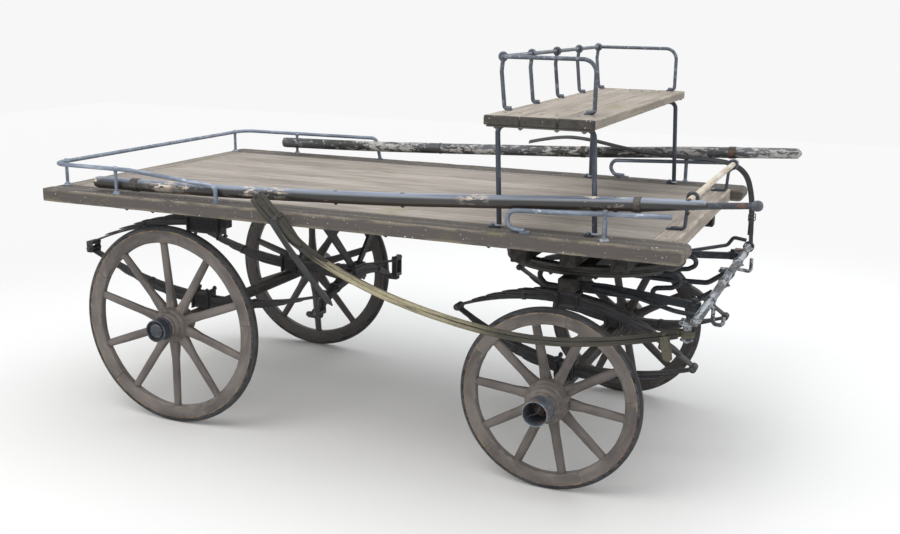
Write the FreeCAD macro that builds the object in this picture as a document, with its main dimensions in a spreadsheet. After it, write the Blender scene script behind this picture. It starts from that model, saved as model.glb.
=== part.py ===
import FreeCAD, Part
import math
import os
import re

import Sketcher

# Four-wheeled horse-drawn flatbed dray: deck with low iron rails and a driver's seat, a full-lock
# forecarriage on elliptic springs, three-quarter elliptic springs behind, two shafts lying on the deck.
# Frame: +X is the front, -Y the near side, +Z up. The origin is on the ground under the middle.

DIMENSIONS = {
    # wheels: radii from the hub outwards
    "rear_radius": 520, "rear_felloe_outer": 496, "rear_felloe_inner": 431, "rear_wheel_y": 735.5,
    "front_radius": 426, "front_felloe_outer": 405, "front_felloe_inner": 348, "front_wheel_y": 698.5,
    "rim_width": 43, "spoke_count": 10,
    "front_nave_out": 117, "front_nave_in": 88, "front_nave_middle": 30, "front_nave_radius": 101,
    "rear_nave_out": 66, "rear_nave_in": 118, "rear_nave_middle": -26, "rear_nave_radius": 97,
    "nave_band_radius": 68, "front_spoke_lean": 8, "rear_spoke_lean": 24,
    "spoke_root_wide": 25, "spoke_root_deep": 20, "spoke_tip_wide": 19, "spoke_tip_deep": 16,
    "cap_radius": 58, "cap_wall": 9, "front_cap_reach": 90, "rear_cap_reach": 61,
    # axles
    "rear_axle_x": -1072, "front_axle_x": 948, "journal_radius": 24, "journal_clearance": 0.05,
    "axle_beam": 50, "nut_radius": 33,
    # deck
    "deck_front": 1538, "deck_rear": -1697, "deck_half_width": 900, "deck_top": 1205,
    "sill_width": 165, "sill_depth": 65, "plank_thickness": 40, "plank_count": 9,
    "front_board_x": 1378, "front_board_wide": 95, "rear_board_wide": 90,
    "bearer_wide": 70, "bearer_depth": 50, "bearer_gap": 0.3,
    "beam_y": 450, "beam_wide": 60, "beam_depth": 65, "beam_front": 1440, "beam_rear": -1600,
    "nose_radius": 26,
    # ironwork
    "rail_radius": 10.5, "rail_y": 862, "rail_height": 1328, "side_rail_height": 1298,
    "cross_rail_radius": 14, "cross_rail_x": 1488, "cross_rail_height": 1350,
    "seat_rail_radius": 9, "hoop_radius": 11, "hoop_y": 776,
    # seat
    "seat_rear": 688, "seat_front": 1162, "seat_half": 920, "seat_top": 1696, "seat_thick": 41,
    "seat_gap": 3, "seat_rail_height": 1922, "back_x": 682, "arm_near_x": 1098, "arm_far_x": 1112,
    "back_near": -702, "back_far": 872,
    # springs
    "spring_y": 450, "spring_wide": 50, "leaf_thick": 9, "eye_radius": 18, "eye_bore": 10.05, "pin_radius": 10,
    # turntable and forecarriage
    "ring_outer": 440, "ring_inner": 388, "ring_bottom": 935, "ring_thick": 29.7, "ring_top": 985,
    "sliding_gap": 0.3, "kingpin_radius": 15, "transom_grip": 48, "bolster_bottom": 868, "bolster_half": 500,
    "splinter_x": 1578, "splinter_z": 884, "splinter_near": -765, "splinter_far": 864,
    "splinter_radius": 20,
    # shafts lying on the deck
    "shaft_radius": 30, "shaft_tip_x": 1814, "shaft_y": 822, "shaft_iron_radius": 16,
    # leather: the width of each strap
    "trace_width": 42, "strap_width": 30,
}

NEAR, FAR = -1, 1
NEAR_FAR = (NEAR, FAR)
SIDES = (("near", NEAR), ("far", FAR))
ROLLERS = (-700, 310, 800)
UP = FreeCAD.Vector(0, 0, 1)

doc = FreeCAD.newDocument("Dray")
sheet = doc.addObject("Spreadsheet::Sheet", "Dims")
for row, (alias, value) in enumerate(DIMENSIONS.items(), start=1):
    sheet.set(f"A{row}", alias.replace("_", " "))
    sheet.set(f"B{row}", str(value))
    sheet.setAlias(f"B{row}", alias)
doc.recompute()

ALIAS = re.compile(r"\b(" + "|".join(sorted(DIMENSIONS, key=len, reverse=True)) + r")\b")
nodes = {}


def size(alias):
    """A driving dimension, read back from the sheet."""
    return float(getattr(sheet, alias))


def vec(x, y, z):
    return FreeCAD.Vector(x, y, z)


def bind(obj, prop, value):
    """Bind one property to the sheet: a number or a formula in the sheet's own words."""
    obj.setExpression(prop, ALIAS.sub(r"Dims.\1", str(value)))


def node(label, obj):
    """Record a finished sub-part under its own label."""
    obj.Label = label
    nodes[label] = obj
    return obj


def move(obj, x, y, z):
    for axis, value in zip("xyz", (x, y, z)):
        bind(obj, f"Placement.Base.{axis}", value)


def box(name, length, width, height, corner):
    item = doc.addObject("Part::Box", name)
    for prop, value in zip(("Length", "Width", "Height"), (length, width, height)):
        bind(item, prop, value)
    move(item, *corner)
    return item


def rod(name, radius, length, base, axis="Z"):
    """A cylinder that runs from its base along one axis."""
    item = doc.addObject("Part::Cylinder", name)
    bind(item, "Radius", radius)
    bind(item, "Height", length)
    turn = {"Z": (UP, 0), "X": (vec(0, 1, 0), 90), "Y": (vec(1, 0, 0), -90)}[axis]
    item.Placement = FreeCAD.Placement(vec(0, 0, 0), FreeCAD.Rotation(*turn))
    move(item, *base)
    return item


def ball(name, radius, centre):
    item = doc.addObject("Part::Sphere", name)
    bind(item, "Radius", radius)
    move(item, *centre)
    return item


def eye_ring(name, major, minor, centre, axis="Y"):
    """A torus whose hole runs along one axis."""
    item = doc.addObject("Part::Torus", name)
    bind(item, "Radius1", major)
    bind(item, "Radius2", minor)
    turn = {"Z": (UP, 0), "X": (vec(0, 1, 0), 90), "Y": (vec(1, 0, 0), -90)}[axis]
    item.Placement = FreeCAD.Placement(vec(0, 0, 0), FreeCAD.Rotation(*turn))
    move(item, *centre)
    return item


def fuse(name, items):
    item = doc.addObject("Part::MultiFuse", name)
    item.Shapes = items
    item.Refine = True
    return item


def cut(name, base, tool):
    item = doc.addObject("Part::Cut", name)
    item.Base = base
    item.Tool = tool
    return item


def bent_wire(points, bend):
    """Straight runs joined by tangent arcs of one radius, or of one radius per corner."""
    radii = bend if isinstance(bend, (list, tuple)) else [bend] * (len(points) - 2)
    edges = []
    start = points[0]
    for before, corner, after, radius in zip(points, points[1:], points[2:], radii):
        back = (before - corner).normalize()
        ahead = (after - corner).normalize()
        turn = math.pi - back.getAngle(ahead)
        reach = radius * math.tan(turn / 2)
        first = corner + back * reach
        last = corner + ahead * reach
        middle = corner + (back + ahead).normalize() * (radius / math.cos(turn / 2) - radius)
        edges.append(Part.LineSegment(start, first).toShape())
        edges.append(Part.Arc(first, middle, last).toShape())
        start = last
    edges.append(Part.LineSegment(start, points[-1]).toShape())
    return Part.Wire(edges)


def bent_rod(name, points, radius, bend):
    """A round bar swept along bent_wire; its section is bound to the sheet."""
    path = doc.addObject("Part::Feature", name + "Path")
    path.Shape = bent_wire(points, bend) if len(points) > 2 else Part.Wire(
        [Part.LineSegment(*points).toShape()])
    section = doc.addObject("Part::Circle", name + "Section")
    bind(section, "Radius", radius)
    heading = points[1] - points[0]
    section.Placement = FreeCAD.Placement(points[0], FreeCAD.Rotation(UP, heading))
    sweep = doc.addObject("Part::Sweep", name)
    sweep.Sections = [section]
    sweep.Spine = (path, [f"Edge{k + 1}" for k in range(len(path.Shape.Edges))])
    sweep.Solid = True
    sweep.Frenet = False
    return sweep


def solid_feature(name, shape):
    """A solid made with Part's own functions, for pieces that no single feature gives."""
    item = doc.addObject("Part::Feature", name)
    item.Shape = shape
    return item


# ---------------------------------------------------------------- PartDesign helpers

def origin_feature(body, role):
    return next(f for f in body.Origin.OriginFeatures if f.Role == role)


def plane_sketch(body, name, plane, points, formulas=()):
    """A closed polygon on one of the body's own planes; formulas drive named distances."""
    sketch = body.newObject("Sketcher::SketchObject", name)
    sketch.AttachmentSupport = [(origin_feature(body, plane), "")]
    sketch.MapMode = "FlatFace"
    count = len(points)
    for k, point in enumerate(points):
        after = points[(k + 1) % count]
        sketch.addGeometry(Part.LineSegment(vec(*point, 0), vec(*after, 0)), False)
    for k in range(count):
        sketch.addConstraint(Sketcher.Constraint("Coincident", k, 2, (k + 1) % count, 1))
    for k, (x_value, y_value) in enumerate(points):
        for kind, value, tag, part in (("DistanceX", x_value, "x", 0), ("DistanceY", y_value, "y", 1)):
            index = sketch.addConstraint(Sketcher.Constraint(kind, -1, 1, k, 1, value))
            sketch.renameConstraint(index, f"{tag}{k}")
            if formulas and formulas[k][part] is not None:
                bind(sketch, f"Constraints.{tag}{k}", formulas[k][part])
    return sketch


def revolve(body, name, points, formulas=()):
    """Turn a profile of (radius, along the axle) about the body's Y axis."""
    sketch = plane_sketch(body, name + "Profile", "XY_Plane", points, formulas)
    turned = body.newObject("PartDesign::Revolution", name)
    turned.Profile = sketch
    turned.ReferenceAxis = (origin_feature(body, "Y_Axis"), [""])
    turned.Angle = 360
    return turned


def ellipse_sketch(body, name, height, wide, deep, lean="0"):
    """A spoke's section, at a height along it; lean moves it in along the axle."""
    sketch = body.newObject("Sketcher::SketchObject", name)
    sketch.AttachmentSupport = [(origin_feature(body, "XY_Plane"), "")]
    sketch.MapMode = "FlatFace"
    bind(sketch, "AttachmentOffset.Base.z", height)
    bind(sketch, "AttachmentOffset.Base.y", lean)
    sketch.addGeometry(Part.Ellipse(vec(size(wide), 0, 0), vec(0, size(deep), 0), vec(0, 0, 0)), False)
    return sketch


def wheel_wood(name, kind):
    """Nave, ten tapered oval spokes and the felloe ring, as one turned and patterned body."""
    body = doc.addObject("PartDesign::Body", name)
    bore = size("journal_radius") + size("journal_clearance")
    out, inside, middle = f"{kind}_nave_out", f"{kind}_nave_in", f"{kind}_nave_middle"
    wide = f"{kind}_nave_radius"
    front, back, centre = -size(out), size(inside), -size(middle)
    band, belly = size("nave_band_radius"), size(wide)
    bore_text = "journal_radius + journal_clearance"
    profile = [(bore, front), (band - 3, front), (band, front + 4), (band, front + 20), (band + 10, front + 30),
               (belly, centre - 26), (belly, centre + 26), (band + 10, back - 34), (band, back - 26), (band, back),
               (bore, back)]
    texts = [(bore_text, f"-{out}"), ("nave_band_radius - 3", f"-{out}"), ("nave_band_radius", f"4 - {out}"),
             ("nave_band_radius", f"20 - {out}"), ("nave_band_radius + 10", f"30 - {out}"),
             (wide, f"-{middle} - 26"), (wide, f"26 - {middle}"), ("nave_band_radius + 10", f"{inside} - 34"),
             ("nave_band_radius", f"{inside} - 26"), ("nave_band_radius", inside), (bore_text, inside)]
    revolve(body, name + "Nave", profile, texts)
    doc.recompute()
    root = ellipse_sketch(body, name + "SpokeRoot", f"{wide} - 20", "spoke_root_wide", "spoke_root_deep",
                          f"{kind}_spoke_lean")
    tip = ellipse_sketch(body, name + "SpokeTip", f"{kind}_felloe_inner + 9", "spoke_tip_wide", "spoke_tip_deep")
    spoke = body.newObject("PartDesign::AdditiveLoft", name + "Spoke")
    spoke.Profile = root
    spoke.Sections = [tip]
    spoke.Ruled = True
    doc.recompute()
    pattern = body.newObject("PartDesign::PolarPattern", name + "Spokes")
    pattern.Originals = [spoke]
    pattern.Axis = (origin_feature(body, "Y_Axis"), [""])
    pattern.Angle = 360
    bind(pattern, "Occurrences", "spoke_count")
    body.Tip = pattern
    doc.recompute()
    inner, outer, half = size(f"{kind}_felloe_inner"), size(f"{kind}_felloe_outer"), size("rim_width") / 2
    ring = [(inner, -half + 9), (inner + 7, -half), (outer, -half), (outer, half), (inner + 7, half),
            (inner, half - 9)]
    felloe_in, felloe_out = f"{kind}_felloe_inner", f"{kind}_felloe_outer"
    ring_texts = [(felloe_in, "9 - rim_width / 2"), (felloe_in + " + 7", "-rim_width / 2"),
                  (felloe_out, "-rim_width / 2"), (felloe_out, "rim_width / 2"),
                  (felloe_in + " + 7", "rim_width / 2"), (felloe_in, "rim_width / 2 - 9")]
    body.Tip = revolve(body, name + "Felloe", ring, ring_texts)
    return body


def turned_body(name, points, formulas=()):
    body = doc.addObject("PartDesign::Body", name)
    revolve(body, name + "Turn", points, formulas)
    return body


def tyre_body(name, kind):
    """Iron channel edges and the rounded rubber tread."""
    inner, outer, half = size(f"{kind}_felloe_outer"), size(f"{kind}_radius"), size("rim_width") / 2
    points = [(inner, -half), (outer - 8, -half), (outer - 2, -half + 5), (outer, -half + 12),
              (outer, half - 12), (outer - 2, half - 5), (outer - 8, half), (inner, half)]
    low, top, side = f"{kind}_felloe_outer", f"{kind}_radius", "rim_width / 2"
    texts = [(low, f"-{side}"), (f"{top} - 8", f"-{side}"), (f"{top} - 2", f"5 - {side}"), (top, f"12 - {side}"),
             (top, f"{side} - 12"), (f"{top} - 2", f"{side} - 5"), (f"{top} - 8", side), (low, side)]
    return turned_body(name, points, texts)


def cap_body(name, kind):
    """Hub cap: an iron cup on the nave's front, open on a front wheel, closed by a set-in disc behind."""
    root = -size(f"{kind}_nave_out")
    tip = root - size(f"{kind}_cap_reach")
    wide = size("cap_radius")
    hollow = wide - size("cap_wall")
    hole = size("nut_radius") + 4
    if kind == "rear":
        points = [(hole, root), (wide, root), (wide, tip + 4), (wide - 4, tip), (hollow - 14, tip),
                  (hollow - 14, tip + 4), (0, tip + 4), (0, tip + 13), (hollow, tip + 13), (hollow, root - 8),
                  (hole, root - 8)]
    else:
        points = [(hole, root), (wide, root), (wide, tip + 4), (wide - 4, tip), (hollow, tip),
                  (hollow, root - 8), (hole, root - 8)]
    return turned_body(name, points)


# ---------------------------------------------------------------- wheels

for kind in ("rear", "front"):
    for side, sign in SIDES:
        name = f"{kind.title()}{side.title()}"
        pieces = {
            "wood": wheel_wood(name + "Wood", kind),
            "tyre": tyre_body(name + "Tyre", kind),
            "cap": cap_body(name + "Cap", kind),
        }
        for piece, body in pieces.items():
            angle = 0 if sign == NEAR else 180
            body.Placement = FreeCAD.Placement(vec(0, 0, 0), FreeCAD.Rotation(UP, angle))
            move(body, f"{kind}_axle_x", f"{sign} * {kind}_wheel_y", f"{kind}_radius")
            node(f"wheel_{kind}_{side}_{piece}", body)


# ---------------------------------------------------------------- axles

def axle(kind):
    """Square beam, turned journals, shoulder collars and the end nuts."""
    title = kind.title() + "Axle"
    across, high = f"{kind}_axle_x", f"{kind}_radius"
    shoulder = f"({kind}_wheel_y - {kind}_nave_in - 4)"
    end = f"({kind}_wheel_y + {kind}_nave_out + 2)"
    items = [box(title + "Beam", "axle_beam", f"2 * ({shoulder} - 30)", "axle_beam",
                 (f"{across} - axle_beam / 2", f"30 - {shoulder}", f"{high} - axle_beam / 2")),
             rod(title + "Journals", "journal_radius", f"2 * {end}", (across, f"-{end}", high), "Y"),
             rod(title + "CollarNear", 36, 32, (across, f"-{shoulder}", high), "Y"),
             rod(title + "CollarFar", 36, 32, (across, f"{shoulder} - 32", high), "Y"),
             rod(title + "NutNear", "nut_radius", 20, (across, f"-{end} - 20", high), "Y"),
             rod(title + "NutFar", "nut_radius", 20, (across, end, high), "Y")]
    return fuse(title, items)


for kind in ("rear", "front"):
    node(f"{kind}_axle", axle(kind))


# ---------------------------------------------------------------- deck

INNER = "(deck_half_width - sill_width)"


def bolt_heads(name, spots, radius, drop, top):
    """Round bolt heads hanging below a face."""
    return [rod(f"{name}{k}", radius, drop, (x, y, top)) for k, (x, y) in enumerate(spots)]


def sill(side, sign):
    """Side sill: a thick edge board with a rounded nose and bolt heads beneath."""
    title = "Sill" + side.title()
    edge = "-deck_half_width" if sign == NEAR else INNER
    plank = box(title + "Plank", "deck_front - deck_rear", "sill_width", "sill_depth",
                ("deck_rear", edge, "deck_top - sill_depth"))
    doc.recompute()
    nosed = doc.addObject("Part::Fillet", title + "Nosed")
    nosed.Base = plank
    radius, front = size("nose_radius"), size("deck_front")
    nosed.Edges = [(k + 1, radius, radius) for k, e in enumerate(plank.Shape.Edges)
                   if abs(e.CenterOfMass.x - front) < 1 and abs(e.tangentAt(0).y) > 0.9]
    spots = [(x, sign * 850) for x in (-1215, -1058, -845, -622, 210, 700, 1120)]
    heads = bolt_heads(title + "Bolt", spots, 13, 16, "deck_top - sill_depth - 14")
    return fuse(title, [nosed] + heads)


for side, sign in SIDES:
    node(f"sill_{side}", sill(side, sign))


def deck_boards():
    """The planked floor: one body with V-shaped joint lines cut along it."""
    body = doc.addObject("PartDesign::Body", "DeckBoards")
    inner = size("deck_half_width") - size("sill_width")
    rear = size("deck_rear") + size("rear_board_wide")
    front = size("front_board_x")
    top = size("deck_top")
    low = top - size("plank_thickness")
    count = int(size("plank_count"))
    outline = plane_sketch(
        body, "DeckSection", "YZ_Plane", [(-inner, low), (inner, low), (inner, top), (-inner, top)],
        [("-deck_half_width + sill_width", "deck_top - plank_thickness"),
         ("deck_half_width - sill_width", "deck_top - plank_thickness"),
         ("deck_half_width - sill_width", "deck_top"), ("-deck_half_width + sill_width", "deck_top")])
    outline.AttachmentOffset = FreeCAD.Placement(vec(0, 0, rear), FreeCAD.Rotation())
    bind(outline, "AttachmentOffset.Base.z", "deck_rear + rear_board_wide")
    pad = body.newObject("PartDesign::Pad", "DeckPad")
    pad.Profile = outline
    bind(pad, "Length", "front_board_x - deck_rear - rear_board_wide")
    doc.recompute()
    pitch = 2 * inner / count
    first = -inner + pitch
    groove = plane_sketch(body, "JointSection", "YZ_Plane",
                          [(first - 1.5, top + 1), (first + 1.5, top + 1), (first, top - 9)])
    groove.AttachmentOffset = FreeCAD.Placement(vec(0, 0, rear - 5), FreeCAD.Rotation())
    joint = body.newObject("PartDesign::Pocket", "DeckJoint")
    joint.Profile = groove
    joint.Reversed = True
    joint.Length = front - rear + 10
    doc.recompute()
    if joint.Shape.Volume > pad.Shape.Volume - 1:
        joint.Reversed = False
        doc.recompute()
    if joint.Shape.Volume > pad.Shape.Volume - 1:
        raise RuntimeError("the joint lines cut nothing")
    lines = body.newObject("PartDesign::LinearPattern", "DeckJoints")
    lines.Originals = [joint]
    lines.Direction = (origin_feature(body, "Y_Axis"), [""])
    lines.Length = pitch * (count - 2)
    lines.Occurrences = count - 1
    body.Tip = lines
    return body


node("deck_boards", deck_boards())
node("front_board", box("FrontBoard", "front_board_wide", f"2 * {INNER}", "sill_depth",
                        ("front_board_x", f"-{INNER}", "deck_top - sill_depth")))
node("rear_board", box("RearBoard", "rear_board_wide", f"2 * {INNER}", "sill_depth",
                       ("deck_rear", f"-{INNER}", "deck_top - sill_depth")))

PLANK_BASE = "(deck_top - plank_thickness)"
BEAM_TOP = f"({PLANK_BASE} - bearer_depth)"
BEAM_BASE = f"({BEAM_TOP} - beam_depth)"
for place, x_text in (("rear", "rear_axle_x"), ("middle", "-80"), ("front", "front_axle_x")):
    node(f"cross_bearer_{place}", box(f"Bearer{place.title()}", "bearer_wide", f"2 * {INNER}", "bearer_depth",
                                      (f"{x_text} - bearer_wide / 2", f"-{INNER}", BEAM_TOP)))
for side, sign in SIDES:
    node(f"chassis_beam_{side}", box(f"Beam{side.title()}", "beam_front - beam_rear", "beam_wide", "beam_depth",
                                     ("beam_rear", f"{sign} * beam_y - beam_wide / 2", BEAM_BASE)))


# ---------------------------------------------------------------- low iron rails round the deck

def foot_plate(name, x, y, long=46, wide=24, thick=7):
    """Flattened foot of a rail or hoop, bolted to the deck."""
    return box(name, long, wide, thick, (x - long / 2, y - wide / 2, "deck_top"))


def gallery_rail():
    """Low rail round the rear of the deck, in one piece, with its stub posts."""
    y, top, deck = size("rail_y"), size("rail_height"), size("deck_top")
    rear = size("deck_rear") + 36
    points = [vec(-678, -y, deck), vec(-678, -y, top - 42), vec(-1180, -y, top), vec(rear, -y, top),
              vec(rear, y, top), vec(-700, y, top + 6), vec(-672, y, deck + 3)]
    items = [bent_rod("GalleryBar", points, "rail_radius", [34, 60, 80, 80, 34]),
             rod("GalleryFootNear", 17, 7, (-678, -y, deck)), rod("GalleryFootFar", 17, 7, (-672, y, deck))]
    for k, (px, py) in enumerate(((rear, -760), (rear, 760), (-1262, -y), (-1262, y))):
        items.append(rod(f"GalleryPost{k}", 8.5, top - deck, (px, py, deck)))
        items.append(ball(f"GalleryKnob{k}", 15, (px, py, top)))
        items.append(rod(f"GalleryCollar{k}", 15, 8, (px, py, deck)))
    return fuse("GalleryRail", items)


node("gallery_rail", gallery_rail())


def side_rail(side, sign):
    """Short rail beside the seat: scrolled foot behind, ball-topped post, plain front end."""
    title = "SideRail" + side.title()
    y, deck, top = sign * size("rail_y"), size("deck_top"), size("side_rail_height")
    points = [vec(862, y, deck + 11), vec(806, y, deck + 14), vec(776, y, deck + 54), vec(800, y, top),
              vec(1474, y, top + 30)]
    bar = bent_rod(title + "Bar", points, "rail_radius", [26, 40, 34])
    post_x = 1205
    post_top = top + 30 * (post_x - 800) / 674
    items = [bar, rod(title + "Post", 10, post_top - deck, (post_x, y, deck)),
             ball(title + "Ball", 15, (post_x, y, post_top + 5)),
             rod(title + "Collar", 17, 7, (post_x, y, deck)),
             box(title + "Foot", 44, 20, 10, (842, y - 10, deck))]
    return fuse(title, items)


for side, sign in SIDES:
    node(f"side_rail_{side}", side_rail(side, sign))


def cross_rail_post(name, y):
    """Iron post with an eye round the cross rail and a foot turned back along the deck."""
    x, deck, high = size("cross_rail_x") - 26, size("deck_top"), size("cross_rail_height")
    points = [vec(x - 60, y, deck + 9), vec(x, y, deck + 9), vec(x + 6, y, high - 40),
              vec(size("cross_rail_x"), y, high - 19)]
    bar = bent_rod(name + "Bar", points, 8, [14, 18])
    eye = eye_ring(name + "Eye", "cross_rail_radius + 7.5", 7, ("cross_rail_x", y, "cross_rail_height"))
    foot = box(name + "Foot", 46, 20, 9, (x - 78, y - 10, deck))
    return fuse(name, [bar, eye, foot])


node("cross_rail", rod("CrossRail", "cross_rail_radius", 1330, ("cross_rail_x", -560, "cross_rail_height"), "Y"))
node("cross_rail_post_near", cross_rail_post("CrossPostNear", -500))
node("cross_rail_post_far", cross_rail_post("CrossPostFar", 630))


# ---------------------------------------------------------------- driver's seat

SEAT_DEPTH = "(seat_front - seat_rear)"
BOARD = f"(({SEAT_DEPTH} - 2 * seat_gap) / 3)"
for k, place in enumerate(("rear", "middle", "front")):
    board = box(f"Seat{place.title()}Plank", BOARD, "2 * seat_half", "seat_thick",
                (f"seat_rear + {k} * ({BOARD} + seat_gap)", "-seat_half", "seat_top - seat_thick"))
    node(f"seat_board_{place}", board)


def seat_hoop(side, sign):
    """Inverted U of round bar: its crown lies under the seat, its feet are bolted to the sill."""
    title = "Hoop" + side.title()
    y, deck = sign * size("hoop_y"), size("deck_top")
    crown = size("seat_top") - size("seat_thick") - size("hoop_radius")
    rear, rear_top, front_top, front = (718, 700, 1120, 1142) if sign == NEAR else (692, 688, 1142, 1160)
    points = [vec(rear, y, deck + 2), vec(rear_top, y, crown), vec(front_top, y, crown), vec(front, y, deck + 2)]
    items = [bent_rod(title + "Bar", points, "hoop_radius", 34)]
    for k, x in enumerate((rear, front)):
        items.append(foot_plate(f"{title}Foot{k}", x - 18, y + sign * 12))
        items.append(rod(f"{title}FootBolt{k}", 9, 14, (x - 26, y + sign * 15, "deck_top")))
    items.append(box(title + "Strap", 350, 34, 5, (rear_top + 40, y - 17, "seat_top - seat_thick - 5")))
    for k, x in enumerate((rear_top + 60, rear_top + 215, rear_top + 370)):
        items.append(rod(f"{title}SeatBolt{k}", 10, 16, (x, y, "seat_top - seat_thick - 16")))
    return fuse(title, items)


for side, sign in SIDES:
    node(f"seat_hoop_{side}", seat_hoop(side, sign))


def seat_back():
    """Back rail and arms of one bar, held by five posts with ring eyes."""
    high, top = size("seat_rail_height"), size("seat_top")
    rear, near, far = size("back_x"), size("back_near"), size("back_far")
    arm_near, arm_far = size("arm_near_x"), size("arm_far_x")
    points = [vec(arm_near - 34, near, top + 9), vec(arm_near, near, top + 9), vec(arm_near, near, high),
              vec(rear, near, high), vec(rear, far, high), vec(arm_far, far, high), vec(arm_far, far, top + 9),
              vec(arm_far - 34, far, top + 9)]
    bar = bent_rod("BackBar", points, "seat_rail_radius", [13, 58, 20, 20, 58, 13])
    items = [bar]
    for k in range(5):
        py = near + 22 + k * (far - near - 44) / 4
        post = [vec(rear + 42, py, top + 9), vec(rear + 12, py, top + 9), vec(rear - 5, py, high - 60),
                vec(rear, py, high - 14)]
        items.append(bent_rod(f"BackPost{k}", post, "seat_rail_radius", [12, 50]))
        items.append(eye_ring(f"BackEye{k}", 14.5, 7.5, (rear + 0.6, py, high - 0.4)))
        items.append(rod(f"BackPostPad{k}", 13, 6, (rear + 34, py, top)))
    for k, (px, py) in enumerate(((arm_near, near), (arm_far, far))):
        items.append(rod(f"ArmPad{k}", 14, 7, (px - 30, py, top)))
    return fuse("SeatBack", items)


node("seat_back", seat_back())


# ---------------------------------------------------------------- leaf springs

def leaf(radius, low, high, thick, wide):
    """One curved leaf: a strip of a ring about the Y axis, between two angles from straight down."""
    def at(r, angle):
        return vec(r * math.sin(angle), 0, -r * math.cos(angle))

    middle = (low + high) / 2
    inner = Part.Arc(at(radius, low), at(radius, middle), at(radius, high)).toShape()
    outer = Part.Arc(at(radius + thick, high), at(radius + thick, middle), at(radius + thick, low)).toShape()
    sides = [Part.LineSegment(at(radius, high), at(radius + thick, high)).toShape(),
             Part.LineSegment(at(radius + thick, low), at(radius, low)).toShape()]
    face = Part.Face(Part.Wire([inner, sides[0], outer, sides[1]]))
    strip = face.extrude(vec(0, wide, 0))
    strip.translate(vec(0, -wide / 2, 0))
    return strip


def leaf_pack(half_chord, sag, count, step, one_sided=False):
    """A bow of leaves, its crown at the origin and its ends up; shorter leaves lie outside."""
    thick, wide = size("leaf_thick"), size("spring_wide")
    radius = (half_chord ** 2 + sag ** 2) / (2 * sag)
    span = math.asin(half_chord / radius)
    strips = []
    for k in range(count):
        reach = span * (1 - step * k)
        low = -span * 0.12 if one_sided else -reach
        strips.append(leaf(radius + k * thick, low, reach, thick, wide))
    pack = strips[0].multiFuse(strips[1:])
    pack.translate(vec(0, 0, radius))
    return pack


def turn_y(shape, degrees):
    shape.rotate(vec(0, 0, 0), vec(0, 1, 0), degrees)
    return shape


def pipe_y(x, y, z, radius, bore, wide):
    """Spring eye: a short tube across the wagon."""
    base = vec(x, y - wide / 2, z)
    tube = Part.makeCylinder(radius, wide, base, vec(0, 1, 0))
    if bore:
        tube = tube.cut(Part.makeCylinder(bore, wide, base, vec(0, 1, 0)))
    return tube


def solid_box(x0, x1, y0, y1, z0, z1):
    return Part.makeBox(x1 - x0, y1 - y0, z1 - z0, vec(x0, y0, z0))


def bore_through(shape, x, y, z, radius, wide):
    return shape.cut(Part.makeCylinder(radius, wide, vec(x, y - wide / 2, z), vec(0, 1, 0)))


def clamp(x, y, bottom, top, half_long, stud_low, stud_high):
    """Clamp block round a pack with two U-bolts, shown by their four legs."""
    half = size("spring_wide") / 2
    block = solid_box(x - half_long, x + half_long, y - half - 4, y + half + 4, bottom, top)
    legs = [Part.makeCylinder(7, stud_high - stud_low, vec(x + dx, y + dy, stud_low))
            for dx in (-half_long + 14, half_long - 14) for dy in (-half - 9, half + 9)]
    straps = [solid_box(x + dx - 8, x + dx + 8, y - half - 16, y + half + 16, stud_high - 10, stud_high)
              for dx in (-half_long + 14, half_long - 14)]
    return [block] + legs + straps


def elliptic_spring(sign):
    """Full elliptic: two bows joined at the eyes, tilted down to the front, clamped top and bottom."""
    x, y = size("front_axle_x") + 20, sign * size("spring_y")
    middle, half = 655, 570
    eye, wide = size("eye_radius"), size("spring_wide")
    lower = leaf_pack(half, 130, 6, 0.13)
    lower.translate(vec(0, 0, -130))
    upper = leaf_pack(half, 150, 6, 0.13)
    upper.rotate(vec(0, 0, 0), vec(1, 0, 0), 180)
    upper.translate(vec(0, 0, 150))
    eyes = [pipe_y(dx, 0, 0, eye + 2, 0, wide + 14) for dx in (-half, half)]
    body = turn_y(lower.multiFuse([upper] + eyes), 7.5)
    body.translate(vec(x, y, middle))
    axle_top = size("front_radius") + size("axle_beam") / 2
    roof = size("bolster_bottom") - size("sliding_gap")
    blocks = clamp(x - 20, y, axle_top, 532, 52, axle_top, 546) + clamp(x - 20, y, 798, roof, 60, 780, roof)
    return body.multiFuse(blocks)


def side_spring(sign):
    """Rear semi-elliptic on the axle, tilted up to the rear, with a bored eye at each end."""
    x, y = size("rear_axle_x") - 5, sign * size("spring_y")
    half, sag, tilt = 715, 125, 4.0
    eye, bore, wide = size("eye_radius"), size("eye_bore"), size("spring_wide")
    pack = leaf_pack(half, sag, 6, 0.14)
    pack.translate(vec(0, 0, -sag))
    body = pack.multiFuse([pipe_y(dx, 0, 6, eye, 0, wide) for dx in (-half - 4, half + 4)])
    for dx in (-half - 4, half + 4):
        body = bore_through(body, dx, 0, 6, bore, wide + 2)
    body = turn_y(body, tilt)
    body.translate(vec(x, y, 740))
    axle_top = size("rear_radius") + size("axle_beam") / 2
    return body.multiFuse(clamp(x + 5, y, axle_top, 632, 62, axle_top, 646))


def spring_end(sign, front):
    """Centre of a side spring's eye."""
    angle = math.radians(4.0)
    x = (1 if front else -1) * 719
    return (size("rear_axle_x") - 5 + x * math.cos(angle) + 6 * math.sin(angle),
            sign * size("spring_y"), 740 - x * math.sin(angle) + 6 * math.cos(angle))


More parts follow.
